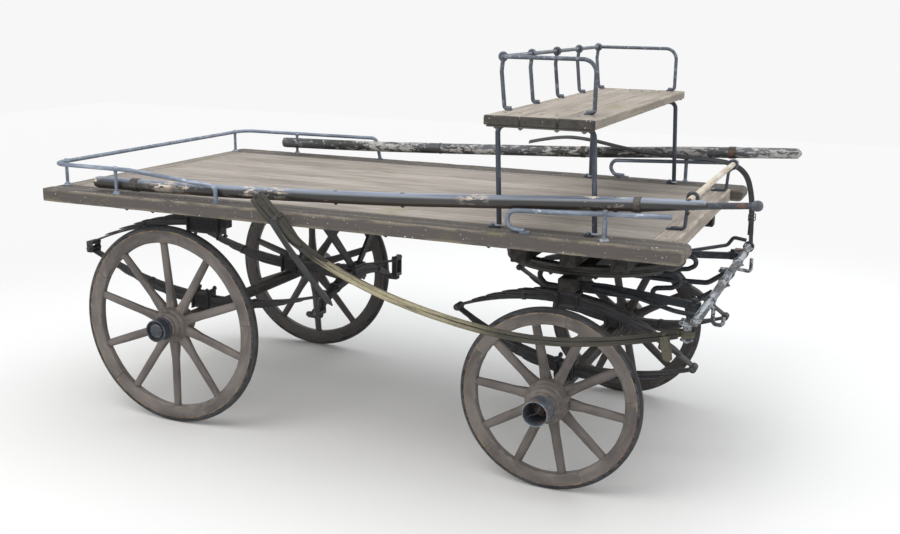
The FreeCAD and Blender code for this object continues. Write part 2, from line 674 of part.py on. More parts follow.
def quarter_spring(sign):
    """Quarter elliptic under the chassis beam: it sweeps back and down and holds the rear eye."""
    y, wide = sign * size("spring_y"), size("spring_wide")
    end_x, _, end_z = spring_end(sign, False)
    beam_base = size("deck_top") - size("plank_thickness") - size("bearer_depth") - size("beam_depth")
    crown_x, crown_z = size("rear_axle_x") + 80, beam_base - 56
    lug_z = end_z + size("eye_radius") + 14
    pack = leaf_pack(crown_x - end_x, crown_z - lug_z, 6, 0.13, True)
    pack.rotate(vec(0, 0, 0), vec(0, 1, 0), 180)
    pack.translate(vec(crown_x, y, crown_z))
    outer = wide / 2 + 12
    cheeks = [solid_box(end_x - 20, end_x + 20, y + a, y + b, end_z - 20, lug_z + 10)
              for a, b in ((-outer, -wide / 2 - 0.5), (wide / 2 + 0.5, outer))]
    bridge = solid_box(end_x - 20, end_x + 24, y - outer, y + outer, lug_z - 6, lug_z + 14)
    pin = pipe_y(end_x, y, end_z, size("pin_radius"), 0, 2 * outer + 14)
    nuts = [pipe_y(end_x, y + s * (outer + 5), end_z, 16, 0, 10) for s in NEAR_FAR]
    block = clamp(size("rear_axle_x") + 35, y, beam_base - 96, beam_base, 108, beam_base - 110, beam_base)
    return pack.multiFuse(cheeks + [bridge, pin] + nuts + block)


CROSS_X = -392


def cross_spring():
    """Arched spring across the wagon, with the shackles that carry the side springs' front eyes."""
    reach, arch, low = 452, 100, 585
    pack = leaf_pack(reach, arch, 6, 0.14)
    pack.rotate(vec(0, 0, 0), vec(1, 0, 0), 180)
    pack.rotate(vec(0, 0, 0), UP, 90)
    pack.translate(vec(CROSS_X, 0, low + arch))
    pieces = []
    wide = size("spring_wide")
    for sign in NEAR_FAR:
        eye_x, eye_y, eye_z = spring_end(sign, True)
        pieces.append(Part.makeCylinder(19, 84, vec(CROSS_X - 42, eye_y, low), vec(1, 0, 0)))
        outer = wide / 2 + 12
        for a, b in ((-outer, -wide / 2 - 0.5), (wide / 2 + 0.5, outer)):
            pieces.append(solid_box(eye_x - 17, eye_x + 17, eye_y + a, eye_y + b, low + 6, eye_z + 18))
        pieces.append(solid_box(CROSS_X - 20, eye_x + 17, eye_y - outer, eye_y + outer, low - 10, low + 30))
        pieces.append(pipe_y(eye_x, eye_y, eye_z, size("pin_radius"), 0, 2 * outer + 16))
        pieces += [pipe_y(eye_x, eye_y + s * (outer + 5), eye_z, 16, 0, 10) for s in NEAR_FAR]
    top = low + arch + 6 * size("leaf_thick")
    pieces.append(solid_box(CROSS_X - 36, CROSS_X + 36, -62, 62, low + arch - 14, top + 8))
    return pack.multiFuse(pieces)


def spring_struts():
    """Two flat struts in a V from the chassis beams down to the cross spring's crown."""
    top = size("deck_top") - size("plank_thickness") - size("bearer_depth")
    crown = 585 + 100 + 6 * size("leaf_thick") + 8
    beam = size("beam_y") - size("beam_wide") / 2
    shapes = []
    for sign in NEAR_FAR:
        outline = [vec(CROSS_X - 8, sign * 10, crown), vec(CROSS_X - 8, sign * 58, crown),
                   vec(CROSS_X - 8, sign * beam, top - 30), vec(CROSS_X - 8, sign * beam, top),
                   vec(CROSS_X - 8, sign * (beam - 46), top)]
        face = Part.Face(Part.makePolygon(outline + [outline[0]]))
        shapes.append(face.extrude(vec(16, 0, 0)))
    shapes.append(solid_box(CROSS_X - 30, CROSS_X + 30, -60, 60, crown, crown + 12))
    shapes.append(solid_box(CROSS_X - 26, CROSS_X + 26, -beam, beam, top - 34, top))
    return shapes[0].multiFuse(shapes[1:])


for side, sign in SIDES:
    title = side.title()
    node(f"elliptic_spring_{side}", solid_feature("Elliptic" + title, elliptic_spring(sign)))
    node(f"side_spring_{side}", solid_feature("SideSpring" + title, side_spring(sign)))
    node(f"quarter_spring_{side}", solid_feature("Quarter" + title, quarter_spring(sign)))
node("cross_spring", solid_feature("CrossSpring", cross_spring()))
node("spring_struts", solid_feature("SpringStruts", spring_struts()))


# ---------------------------------------------------------------- turntable

RING_TOP = "(ring_bottom + ring_thick + sliding_gap)"


def ring(name, base, height):
    disc = rod(name + "Disc", "ring_outer", height, ("front_axle_x", 0, base))
    hole = rod(name + "Hole", "ring_inner", f"{height} + 2", ("front_axle_x", 0, f"{base} - 1"))
    return cut(name, disc, hole)


def transoms():
    """Three timbers between the upper ring and the chassis beams; the middle one holds the kingpin."""
    timbers = [box(f"Transom{k}", 76, "2 * bolster_half", f"{BEAM_BASE} - ring_top",
                   (f"front_axle_x + {dx} - 38", "-bolster_half", "ring_top"))
               for k, dx in enumerate((-235, 0, 235))]
    hole = rod("TransomHole", "kingpin_radius", "2 * transom_grip", ("front_axle_x", 0, "ring_top - transom_grip"))
    return cut("Transoms", fuse("TransomTimbers", timbers), hole)


def kingpin():
    """Round pin with a flanged head under the bolster."""
    shank = rod("KingpinShank", "kingpin_radius", "ring_top + transom_grip - bolster_bottom + 20",
                ("front_axle_x", 0, "bolster_bottom - 20"))
    head = rod("KingpinHead", "kingpin_radius + 12", 14, ("front_axle_x", 0, "bolster_bottom - 22"))
    return fuse("Kingpin", [shank, head])


node("turntable_upper", ring("UpperRing", RING_TOP, f"ring_top - {RING_TOP}"))
node("turntable_transoms", transoms())
node("kingpin", kingpin())
node("turntable_lower", ring("LowerRing", "ring_bottom", "ring_thick"))
bolster = box("BolsterTimber", 84, "2 * bolster_half", "ring_bottom - bolster_bottom",
              ("front_axle_x - 42", "-bolster_half", "bolster_bottom"))
king_hole = rod("KingHole", "kingpin_radius + journal_clearance", 120, ("front_axle_x", 0, "bolster_bottom - 5"))
node("bolster", cut("Bolster", bolster, king_hole))


# ---------------------------------------------------------------- draught gear

def futchell(side, sign):
    """Arm from the bolster to the bar: a flat one with a bolted lug and a round one to the bar's end."""
    title = "Futchell" + side.title()
    x0, x1 = size("front_axle_x") + 42, size("splinter_x") - size("splinter_radius") + 2
    y0, y1 = sign * 405, sign * 540
    low, high, half = 872, 906, 11
    outline = [vec(x0, y0 - half, low), vec(x0 + 120, y0 - half, low), vec(x1, y1 - half, low),
               vec(x1, y1 + half, low), vec(x0 + 120, y0 + half, low), vec(x0, y0 + half, low)]
    flat = solid_feature(title + "Flat", Part.Face(Part.makePolygon(outline + [outline[0]])).extrude(
        vec(0, 0, high - low)))
    lug = rod(title + "Lug", 24, 36, (x1 - 26, y1, low - 1))
    bolt = rod(title + "Bolt", 13, 50, (x1 - 26, y1, low - 1))
    start = [vec(x0 + 60, y0 + sign * 12, 889), vec(x0 + 300, sign * 520, 889)]
    if sign == NEAR:
        line = start + [vec(x1 - 90, -655, 889), vec(x1 + 4, -675, 886)]
        bends = [90, 60]
    else:
        line = start + [vec(x1 - 90, 790, 889), vec(x1 - 62, 796, 933), vec(x1 + 4, 810, 920)]
        bends = [90, 24, 20]
    end = bent_rod(title + "End", line, 10, bends)
    return fuse(title, [flat, lug, bolt, end])


def ring_stay(side, sign):
    """Bent round stays: a C behind the bolster, a long lower bar, and an S down from the ring."""
    title = "Stay" + side.title()
    y = sign * 205
    x = size("front_axle_x")
    lower = [vec(x - 42, y, 912), vec(x - 190, y, 912), vec(x - 236, y, 866), vec(x - 190, y, 822),
             vec(x - 60, y, 815), vec(x + 330, y, 806), vec(x + 520, y, 812), vec(x + 606, y, 874)]
    curl = [vec(x + 355, y, 936), vec(x + 440, y, 936), vec(x + 470, y, 900), vec(x + 420, y, 872),
            vec(x + 345, y, 862), vec(x + 322, y, 830), vec(x + 400, y, 808)]
    bars = [bent_rod(title + "Lower", lower, 13, [34, 36, 34, 60, 90, 60]),
            bent_rod(title + "Curl", curl, 12, [26, 26, 30, 24, 18])]
    return fuse(title, bars)


def hanging_hook(name, y):
    """Open hook that hangs in front of the splinter bar, its tip forward and up."""
    x, z = size("splinter_x"), size("splinter_z")
    points = [vec(x, y, z), vec(x + 30, y, z - 2), vec(x + 30, y - 4, z - 76), vec(x + 76, y - 8, z - 76),
              vec(x + 76, y - 8, z - 40)]
    return bent_rod(name, points, 9, [14, 20, 18])


def upturned_hook(name, y):
    """Hook that runs forward from the splinter bar and turns straight up."""
    x, z = size("splinter_x"), size("splinter_z")
    points = [vec(x, y, z - 6), vec(x + 80, y, z - 16), vec(x + 80, y, z + 52)]
    return bent_rod(name, points, 9, [15])


def splinter_bar():
    """Round draught bar with ferrules, two hooks and the ears that hold the roller bolts."""
    items = [rod("SplinterRod", "splinter_radius", "splinter_far - splinter_near",
                 ("splinter_x", "splinter_near", "splinter_z"), "Y")]
    for k, y in enumerate((-420, -60, 120, 400, 620)):
        items.append(rod(f"Ferrule{k}", "splinter_radius + 4", 40, ("splinter_x", y, "splinter_z"), "Y"))
    for k, y in enumerate(ROLLERS):
        items.append(box(f"Ear{k}", 76, 50, 11, ("splinter_x - 70", y - 25, "splinter_z - 25")))
    items += [hanging_hook("HookNear", -500), upturned_hook("HookFar", 300)]
    return fuse("SplinterBar", items)


def roller_bolt(name, y):
    """Spool under the bar that a trace loops round."""
    x, top = "splinter_x - 42", "splinter_z - 25"
    items = [rod(name + "Head", 37, 8, (x, y, f"{top} - 8")), rod(name + "Neck", 20, 80, (x, y, f"{top} - 80")),
             rod(name + "Foot", 28, 8, (x, y, f"{top} - 80"))]
    return fuse(name, items)


node("splinter_bar", splinter_bar())
roller_group = doc.addObject("Part::Compound", "RollerBolts")
roller_group.Links = [roller_bolt(f"Roller{k}", y) for k, y in enumerate(ROLLERS)]
node("roller_bolts", roller_group)
for side, sign in SIDES:
    node(f"futchell_{side}", futchell(side, sign))
    node(f"ring_stay_{side}", ring_stay(side, sign))


# ---------------------------------------------------------------- shafts laid on the deck

def shaft_near():
    """Ash shaft with an iron end: tapered timber, socket, round iron tip with a knob, hook and bolts."""
    y, tip, radius = -size("shaft_y"), size("shaft_tip_x"), size("shaft_radius")
    deck = size("deck_top")
    line = [vec(-1420, y + 6, deck + 42), vec(-690, y + 6, deck + 52), vec(280, y, deck + 90),
            vec(1180, y, deck + 147), vec(1600, y, deck + 168)]
    timber = bent_rod("ShaftNearTimber", line, "shaft_radius", 2500)
    heading = (line[-1] - line[-2]).normalize()
    iron = [line[-1] - heading * 160 + vec(0, 0, 12), line[-1] + vec(0, 0, 8), vec(tip - 22, y, deck + 188)]
    bar = bent_rod("ShaftNearIron", iron, "shaft_iron_radius", 400)
    knob = ball("ShaftNearKnob", 22, (tip - 22, y, deck + 188))
    hook = bent_rod("ShaftNearHook", [vec(-520, y - 12, deck + 56), vec(-462, y - 34, deck + 74),
                                      vec(-432, y - 52, deck + 60), vec(-428, y - 56, deck + 78)], 8, [24, 10])
    band = rod("ShaftNearBand", "shaft_radius + 3", 46, (-1200, y + 6, deck + 45), "X")
    return fuse("ShaftNear", [timber, bar, knob, hook, band])


def shaft_far():
    """The second shaft, sawn off square at the rear and rounded in front."""
    y, deck = size("shaft_y") + 30, size("deck_top")
    line = [vec(-1318, y - 52, deck + 74), vec(-672, y - 40, deck + 86), vec(135, y - 16, deck + 113),
            vec(733, y, deck + 136), vec(1286, y, deck + 170), vec(1810, y, deck + 196)]
    return bent_rod("ShaftFarTimber", line, "shaft_radius + 1", 3000)


node("shaft_near", shaft_near())
node("shaft_far", shaft_far())


# ---------------------------------------------------------------- leather

def strap(name, points, width):
    """A limp strap's own space: a tube as wide as the strap, with arcs as large as its runs allow."""
    radii = []
    for before, corner, after in zip(points, points[1:], points[2:]):
        turn = math.pi - (before - corner).getAngle(after - corner)
        run = min((corner - before).Length, (after - corner).Length)
        radii.append(0.45 * run / math.tan(turn / 2))
    tube = bent_rod(name, points, f"{width} / 2", radii)
    doc.recompute()
    path = doc.getObject(name + "Path").Shape
    section = math.pi * (size(width) / 2) ** 2
    print(name, "length", round(path.Length, 1), "radii", [round(r) for r in radii],
          "volume ratio", round(tube.Shape.Volume / (section * path.Length), 4))
    return tube


TRACE = [(-424, -912, 1272), (-315, -935, 1182), (-140, -928, 1020), (285, -905, 842), (860, -880, 735),
         (1300, -862, 785), (1505, -758, 820)]
TAIL = [(-306, -972, 1176), (-218, -980, 1062), (-96, -975, 915), (2, -968, 812)]
FAR_STRAP = [(300, 842, 1374), (484, 838, 1420), (667, 817, 1413), (820, 803, 1386), (961, 803, 1362),
             (1130, 803, 1349), (1290, 803, 1347), (1430, 803, 1341), (1536, 811, 1290), (1572, 820, 1168),
             (1581, 826, 1050), (1578, 838, 946)]
for label, points, width in (("trace_near", TRACE, "trace_width"), ("trace_tail", TAIL, "strap_width"),
                             ("strap_far", FAR_STRAP, "strap_width")):
    node(label, strap(label.title().replace("_", ""), [vec(*p) for p in points], width))

# ---------------------------------------------------------------- checks and export

doc.recompute()
problems = [f"{o.Name}: {o.State}" for o in doc.Objects if {"Invalid", "Error"} & set(o.State)]
problems += [f"{label}: bad shape" for label, item in nodes.items()
             if item.Shape.isNull() or not item.Shape.isValid()]
if problems:
    raise RuntimeError("; ".join(problems))
os.makedirs("parts", exist_ok=True)
for label, item in nodes.items():
    item.Shape.exportStep(f"parts/{label}.step")
whole = Part.makeCompound([item.Shape for item in nodes.values()]).BoundBox
print(len(nodes), "nodes", whole)
for label, item in nodes.items():
    if len(item.Shape.Solids) != 1:
        print(label, "holds", len(item.Shape.Solids), "separate solids")
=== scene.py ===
import math
import random

import bpy
from mathutils import Matrix, Vector, noise


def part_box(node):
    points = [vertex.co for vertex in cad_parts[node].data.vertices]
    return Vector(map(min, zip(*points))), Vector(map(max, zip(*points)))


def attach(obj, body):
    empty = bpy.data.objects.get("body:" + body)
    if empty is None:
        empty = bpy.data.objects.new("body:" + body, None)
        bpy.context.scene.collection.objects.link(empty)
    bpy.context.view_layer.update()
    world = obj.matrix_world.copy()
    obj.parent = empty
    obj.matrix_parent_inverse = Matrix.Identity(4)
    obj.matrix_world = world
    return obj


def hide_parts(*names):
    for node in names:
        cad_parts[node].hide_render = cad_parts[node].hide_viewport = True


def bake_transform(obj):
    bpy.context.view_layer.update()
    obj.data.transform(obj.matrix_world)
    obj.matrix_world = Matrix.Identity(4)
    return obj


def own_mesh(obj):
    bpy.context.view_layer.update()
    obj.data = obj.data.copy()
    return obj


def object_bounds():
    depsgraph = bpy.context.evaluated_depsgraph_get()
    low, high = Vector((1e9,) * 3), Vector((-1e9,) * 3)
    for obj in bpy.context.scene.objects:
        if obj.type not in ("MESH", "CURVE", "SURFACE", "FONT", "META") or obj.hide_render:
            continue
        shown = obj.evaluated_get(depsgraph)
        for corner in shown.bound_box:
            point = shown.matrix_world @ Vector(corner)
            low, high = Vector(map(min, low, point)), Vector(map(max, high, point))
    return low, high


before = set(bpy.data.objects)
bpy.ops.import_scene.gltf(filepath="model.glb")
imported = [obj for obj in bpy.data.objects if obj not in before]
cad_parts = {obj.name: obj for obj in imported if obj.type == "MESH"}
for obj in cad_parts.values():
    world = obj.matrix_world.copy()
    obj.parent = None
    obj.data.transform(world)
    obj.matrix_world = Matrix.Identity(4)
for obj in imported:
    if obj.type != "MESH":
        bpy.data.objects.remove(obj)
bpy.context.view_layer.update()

# A four-wheeled horse-drawn flatbed dray. Metres; +X is the front, -Y the near side, +Z up.

X, Y, Z = Vector((1, 0, 0)), Vector((0, 1, 0)), Vector((0, 0, 1))
SIDES = (("near", -1), ("far", 1))
MM = 0.001
chance = random.Random(7)

# ---------------------------------------------------------------- camera

LENS, SENSOR = 42.6, 36.0
CAM_AZIMUTH, CAM_LIFT, CAM_ROLL = 0.3963, 0.2375, 0.0143
CAM_BACK, CAM_RIGHT, CAM_UP, FRAME_SHIFT = 5.8653, 0.2107, 0.7549, 0.062


def make_camera():
    """Looks along the camera's back axis, with a slight roll."""
    back = Vector((math.sin(CAM_AZIMUTH) * math.cos(CAM_LIFT), -math.cos(CAM_AZIMUTH) * math.cos(CAM_LIFT),
        math.sin(CAM_LIFT)))
    right = Vector((math.cos(CAM_AZIMUTH), math.sin(CAM_AZIMUTH), 0))
    up = back.cross(right)
    place = back * CAM_BACK + right * CAM_RIGHT + up * CAM_UP - X * FRAME_SHIFT
    rolled_right = right * math.cos(CAM_ROLL) + up * math.sin(CAM_ROLL)
    rolled_up = up * math.cos(CAM_ROLL) - right * math.sin(CAM_ROLL)
    data = bpy.data.cameras.new("camera")
    data.lens, data.sensor_width = LENS, SENSOR
    camera = bpy.data.objects.new("camera", data)
    bpy.context.scene.collection.objects.link(camera)
    turn = Matrix((rolled_right, rolled_up, back)).transposed().to_4x4()
    camera.matrix_world = Matrix.Translation(place) @ turn
    bpy.context.scene.camera = camera


make_camera()

# ---------------------------------------------------------------- mesh building


class Build:
    """Collects faces, with the grain, wear and tint at each point that the materials read."""

    def __init__(self):
        self.points, self.faces, self.slots = [], [], []
        self.grain, self.wear, self.tint = [], [], []

    def add(self, points, faces, grain, wear=None, tint=0.0, slot=0):
        base = len(self.points)
        self.points += points
        self.grain += grain
        self.wear += wear or [0.0] * len(points)
        self.tint += tint if isinstance(tint, list) else [tint] * len(points)
        self.faces += [tuple(base + k for k in face) for face in faces]
        self.slots += [slot] * len(faces)

    def piece(self, name, body, materials, slot, stands_for=(), sharp=38):
        mesh = bpy.data.meshes.new(name)
        mesh.from_pydata([tuple(p) for p in self.points], [], self.faces)
        for key, kind, values in (("grain", "FLOAT_VECTOR", [c for g in self.grain for c in g]),
                ("wear", "FLOAT", self.wear), ("tint", "FLOAT", self.tint)):
            layer = mesh.attributes.new(key, kind, "POINT")
            layer.data.foreach_set("vector" if kind == "FLOAT_VECTOR" else "value", values)
        for material in materials:
            mesh.materials.append(material)
        mesh.polygons.foreach_set("material_index", self.slots)
        mesh.polygons.foreach_set("use_smooth", [True] * len(mesh.polygons))
        mesh.set_sharp_from_angle(angle=math.radians(sharp))
        mesh.validate()
        obj = bpy.data.objects.new(name, mesh)
        bpy.context.scene.collection.objects.link(obj)
        if body:
            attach(obj, body)
        if stands_for:
            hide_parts(*stands_for)
        return obj


def ring_faces(rings, size, caps=True):
    """Quads between rings of the same size, and a cap at each end."""
    faces = []
    for k in range(rings - 1):
        for j in range(size):
            a, b = k * size + j, k * size + (j + 1) % size
            faces.append((a, b, b + size, a + size))
    if caps:
        faces.append(tuple(range(size - 1, -1, -1)))
        faces.append(tuple((rings - 1) * size + j for j in range(size)))
    return faces


def loose(reach=9):
    """A random offset, so that no two pieces show the same grain."""
    return Vector((chance.uniform(0, reach), chance.uniform(0, reach), chance.uniform(0, reach)))


def mm(*rows):
    """Rows of (length, length, share) given in millimetres, as metres; the share stays."""
    return [(a * MM, b * MM, w) for a, b, w in rows]


def mirrored(rows, *middle):
    """A symmetrical section from its first half: rows of (radius, across, ...), then the rows in the middle."""
    return rows + list(middle) + [(radius, -across, *rest) for radius, across, *rest in reversed(rows)]


def length_of(line):
    return sum((b - a).length for a, b in zip(line, line[1:]))


def sweep(build, path, section, side, tint=0.0, slot=0):
    """Carries a section along a path: section(k, share) gives (across, up, wear), side a direction or f(k)."""
    shift = loose()
    points, grain, wear, tints = [], [], [], []
    last, far, size = len(path) - 1, 0.0, 0
    for k, here in enumerate(path):
        ahead = (path[min(k + 1, last)] - path[max(k - 1, 0)]).normalized()
        across = side(k) if callable(side) else side
        across = (across - ahead * across.dot(ahead)).normalized()
        up = ahead.cross(across)
        if k:
            far += (here - path[k - 1]).length
        ring = section(k, k / max(last, 1))
        size = len(ring)
        for a, b, w in ring:
            points.append(here + across * a + up * b)
            grain.append(Vector((far, a, b)) + shift)
            wear.append(w)
            tints.append(tint(far, a, b) if callable(tint) else tint)
    build.add(points, ring_faces(len(path), size), grain, wear, tints, slot)


def slab(wide, thick, soft, rows=0, sides=0):
    """A rounded rectangle with worn corners; rows and sides add points on its faces and edges."""
    a, b = wide / 2 - soft, thick / 2 - soft
    outline = []
    for turn, (cx, cy) in enumerate(((a, b), (-a, b), (-a, -b), (a, -b))):
        for step in range(3):
            angle = math.pi / 2 * (turn + step / 2)
            outline.append((cx + soft * math.cos(angle), cy + soft * math.sin(angle), 1.0))
        if turn in (0, 2):
            sign = 1 - turn
            outline += [(sign * (a - 2 * a * row / (rows + 1)), sign * thick / 2, 0.0)
                for row in range(1, rows + 1)]
        else:
            sign = turn - 2
            for k in range(sides):
                fall = b * (1 - 2 * (k + 0.5) / sides) * 0.9
                outline.append((sign * wide / 2, -sign * fall, 0.0))
    return outline


def round_section(radius, count=14):
    turns = [2 * math.pi * k / count for k in range(count)]
    return [(radius * math.cos(turn), radius * math.sin(turn), 0.0) for turn in turns]


def tube(build, path, radius, count, side, slot=0):
    size = radius if callable(radius) else (lambda share: radius)
    sweep(build, path, lambda k, share: round_section(size(share), count), side, slot=slot)


def board(build, low, high, axis, soft=3 * MM, step=0.06, rough=0.7 * MM, rows=6, inset=0.0, tint=0.0, slot=0,
        chips=1.6 * MM, end=4 * MM):
    """A sawn board between two corners, grain along one axis: rounded, a little uneven, its edges chipped."""
    low, high = Vector(low), Vector(high)
    middle, size = (low + high) / 2, high - low
    order = {"X": (0, 1, 2), "Y": (1, 0, 2), "Z": (2, 0, 1)}[axis]
    along, across = Vector(), Vector()
    along[order[0]], across[order[1]] = 1, 1
    long, wide, thick = (size[n] for n in order)
    count = max(2, round(long / step))
    seed = loose(50)
    spots = [0.0, end / long] + [k / count for k in range(1, count)] + [1 - end / long, 1.0]
    path = [middle + along * (share - 0.5) * long for share in spots]
    sides = 3 if thick > 30 * MM else 0
    outline = slab(wide - 2 * inset, thick - 2 * inset, soft, rows, sides)
    rim = slab(wide - 2 * inset - 2 * soft, thick - 2 * inset - 2 * soft, soft, rows, sides)

    def section(k, share):
        if k in (0, len(path) - 1):
            return [(a, b, 1.0) for a, b, w in rim]
        ring = []
        for a, b, w in outline:
            at = seed + Vector((path[k][order[0]] * 9, a * 30, b * 30))
            dip = rough * noise.noise(at) + w * chips * max(0.0, noise.noise(at * 3.1) - 0.15)
            pull = 1 - abs(dip) / max(wide, thick) * 2
            ring.append((a * pull, b - math.copysign(abs(dip), b), w))
        return ring

    sweep(build, path, section, across, tint=tint, slot=slot)


def turned(build, base, axis, profile, count=24, slot=0, spin=0.0, caps=True):
    """A turned shape: profile is (radius, height, wear) along the axis from the base."""
    axis = Vector(axis).normalized()
    across = axis.orthogonal().normalized()
    other = axis.cross(across)
    shift = loose()
    points, grain, wear = [], [], []
    for radius, height, w in profile:
        for k in range(count):
            angle = spin + 2 * math.pi * k / count
            flat = across * math.cos(angle) * radius + other * math.sin(angle) * radius
            points.append(Vector(base) + axis * height + flat)
            grain.append(Vector((height, radius * math.cos(angle), radius * math.sin(angle))) + shift)
            wear.append(w)
    build.add(points, ring_faces(len(profile), count, caps), grain, wear, slot=slot)


def dome(build, base, axis, radius, high, slot=0, count=16):
    """A round-headed bolt."""
    steps = [(radius * math.cos(a), high * (0.25 + 0.75 * math.sin(a)), 0.6 * (a > 0.9))
        for a in (0.0, 0.4, 0.8, 1.2, 1.45)]
    turned(build, base, axis, [(radius * 0.98, 0, 0.0)] + steps, count, slot)


def nut(build, base, axis, radius, high, sides=4, slot=0, stud=True):
    """A nut with softened corners, and the stud's end standing out of it."""
    spin = chance.uniform(0, 3)
    body = [(radius, 0, 0.0), (radius, high * 0.85, 0.3), (radius * 0.86, high, 1.0)]
    turned(build, base, axis, body, sides, slot, spin)
    if stud:
        end = [(radius * 0.5, 0, 0.0), (radius * 0.5, high * 0.45, 0.4), (radius * 0.38, high * 0.6, 1.0)]
        turned(build, Vector(base) + Vector(axis).normalized() * high * 0.9, axis, end, 12, slot)


def smooth_path(points, step=0.01):
    """Points on an easy curve through the given ones."""
    points = [Vector(p) for p in points]
    ends = [points[0] * 2 - points[1]] + points + [points[-1] * 2 - points[-2]]
    path = []
    for a, b, c, d in zip(ends, ends[1:], ends[2:], ends[3:]):
        count = max(2, round((c - b).length / step))
        for k in range(count):
            t = k / count
            path.append(0.5 * (2 * b + (c - a) * t + (2 * a - 5 * b + 4 * c - d) * t * t
                + (3 * b - a - 3 * c + d) * t ** 3))
    return path + [points[-1]]


# ---------------------------------------------------------------- materials


def shade(*rgb):
    """A colour given as the eye sees it, 0 to 255, as linear light."""
    return tuple((c / 255 / 12.92 if c < 10.4 else ((c / 255 + 0.055) / 1.055) ** 2.4) for c in rgb) + (1.0,)


class Finish:
    """A material's node tree in short calls. Grain runs along x of the coordinates it reads."""

    def __init__(self, name, source="grain"):
        self.material = bpy.data.materials.new(name)
        self.material.use_nodes = True
        self.tree = self.material.node_tree
        self.shader = self.tree.nodes["Principled BSDF"]
        if source == "grain":
            self.place = self.make("ShaderNodeAttribute", attribute_name="grain").outputs["Vector"]
        else:
            here = self.make("ShaderNodeTexCoord").outputs["Object"]
            turn = {"X": (0, 0, 0), "Y": (0, 0, -math.pi / 2), "Z": (0, math.pi / 2, 0)}[source]
            mapping = self.make("ShaderNodeMapping")
            mapping.inputs["Rotation"].default_value = turn
            self.tree.links.new(here, mapping.inputs["Vector"])
            self.place = mapping.outputs["Vector"]

    def make(self, kind, **values):
        item = self.tree.nodes.new(kind)
        for key, value in values.items():
            setattr(item, key, value)
        return item

    def put(self, socket, value):
        if isinstance(value, bpy.types.NodeSocket):
            self.tree.links.new(value, socket)
        else:
            socket.default_value = value

    def noise(self, scale, stretch=(1, 1, 1), detail=4.0, rough=0.6, warp=0.0, seed=0.0):
        mapping = self.make("ShaderNodeMapping")
        mapping.inputs["Scale"].default_value = stretch
        mapping.inputs["Location"].default_value = (seed, seed * 1.7, seed * 0.6)
        self.put(mapping.inputs["Vector"], self.place)
        item = self.make("ShaderNodeTexNoise")
        self.put(item.inputs["Vector"], mapping.outputs["Vector"])
        for key, value in (("Scale", scale), ("Detail", detail), ("Roughness", rough), ("Distortion", warp)):
            item.inputs[key].default_value = value
        return item.outputs["Fac"]

    def cells(self, scale):
        """How far the surface is from the middle of the nearest of many small cells."""
        item = self.make("ShaderNodeTexVoronoi", feature="F1")
        self.put(item.inputs["Vector"], self.place)
        item.inputs["Scale"].default_value = scale
        return item.outputs["Distance"]

    def layer(self, name):
        return self.make("ShaderNodeAttribute", attribute_name=name).outputs["Fac"]

    def level(self, value, low, high, to_low=0.0, to_high=1.0):
        item = self.make("ShaderNodeMapRange", interpolation_type="SMOOTHSTEP")
        self.put(item.inputs["Value"], value)
        for key, number in (("From Min", low), ("From Max", high), ("To Min", to_low), ("To Max", to_high)):
            item.inputs[key].default_value = number
        return item.outputs["Result"]

    def calc(self, operation, a, b=0.0):
        item = self.make("ShaderNodeMath", operation=operation, use_clamp=operation in ("ADD", "SUBTRACT"))
        self.put(item.inputs[0], a)
        self.put(item.inputs[1], b)
        return item.outputs[0]

    def both(self, a, b):
        return self.calc("MULTIPLY", a, b)

    def mix(self, share, a, b, blend="MIX"):
        item = self.make("ShaderNodeMix", data_type="RGBA", blend_type=blend)
        for key, value in ((0, share), (6, a), (7, b)):
            self.put(item.inputs[key], value)
        return item.outputs[2]

    def upward(self):
        """1 where the surface faces up."""
        split = self.make("ShaderNodeSeparateXYZ")
        self.put(split.inputs[0], self.make("ShaderNodeNewGeometry").outputs["Normal"])
        return split.outputs[2]

    def done(self, colour, rough, relief=None, strength=0.4, depth=0.002, metal=0.0):
        self.put(self.shader.inputs["Base Color"], colour)
        self.put(self.shader.inputs["Roughness"], rough)
        self.put(self.shader.inputs["Metallic"], metal)
        if relief is not None:
            bump = self.make("ShaderNodeBump")
            bump.inputs["Strength"].default_value = strength
            bump.inputs["Distance"].default_value = depth
            self.put(bump.inputs["Height"], relief)
            self.put(self.shader.inputs["Normal"], bump.outputs["Normal"])
        return self.material


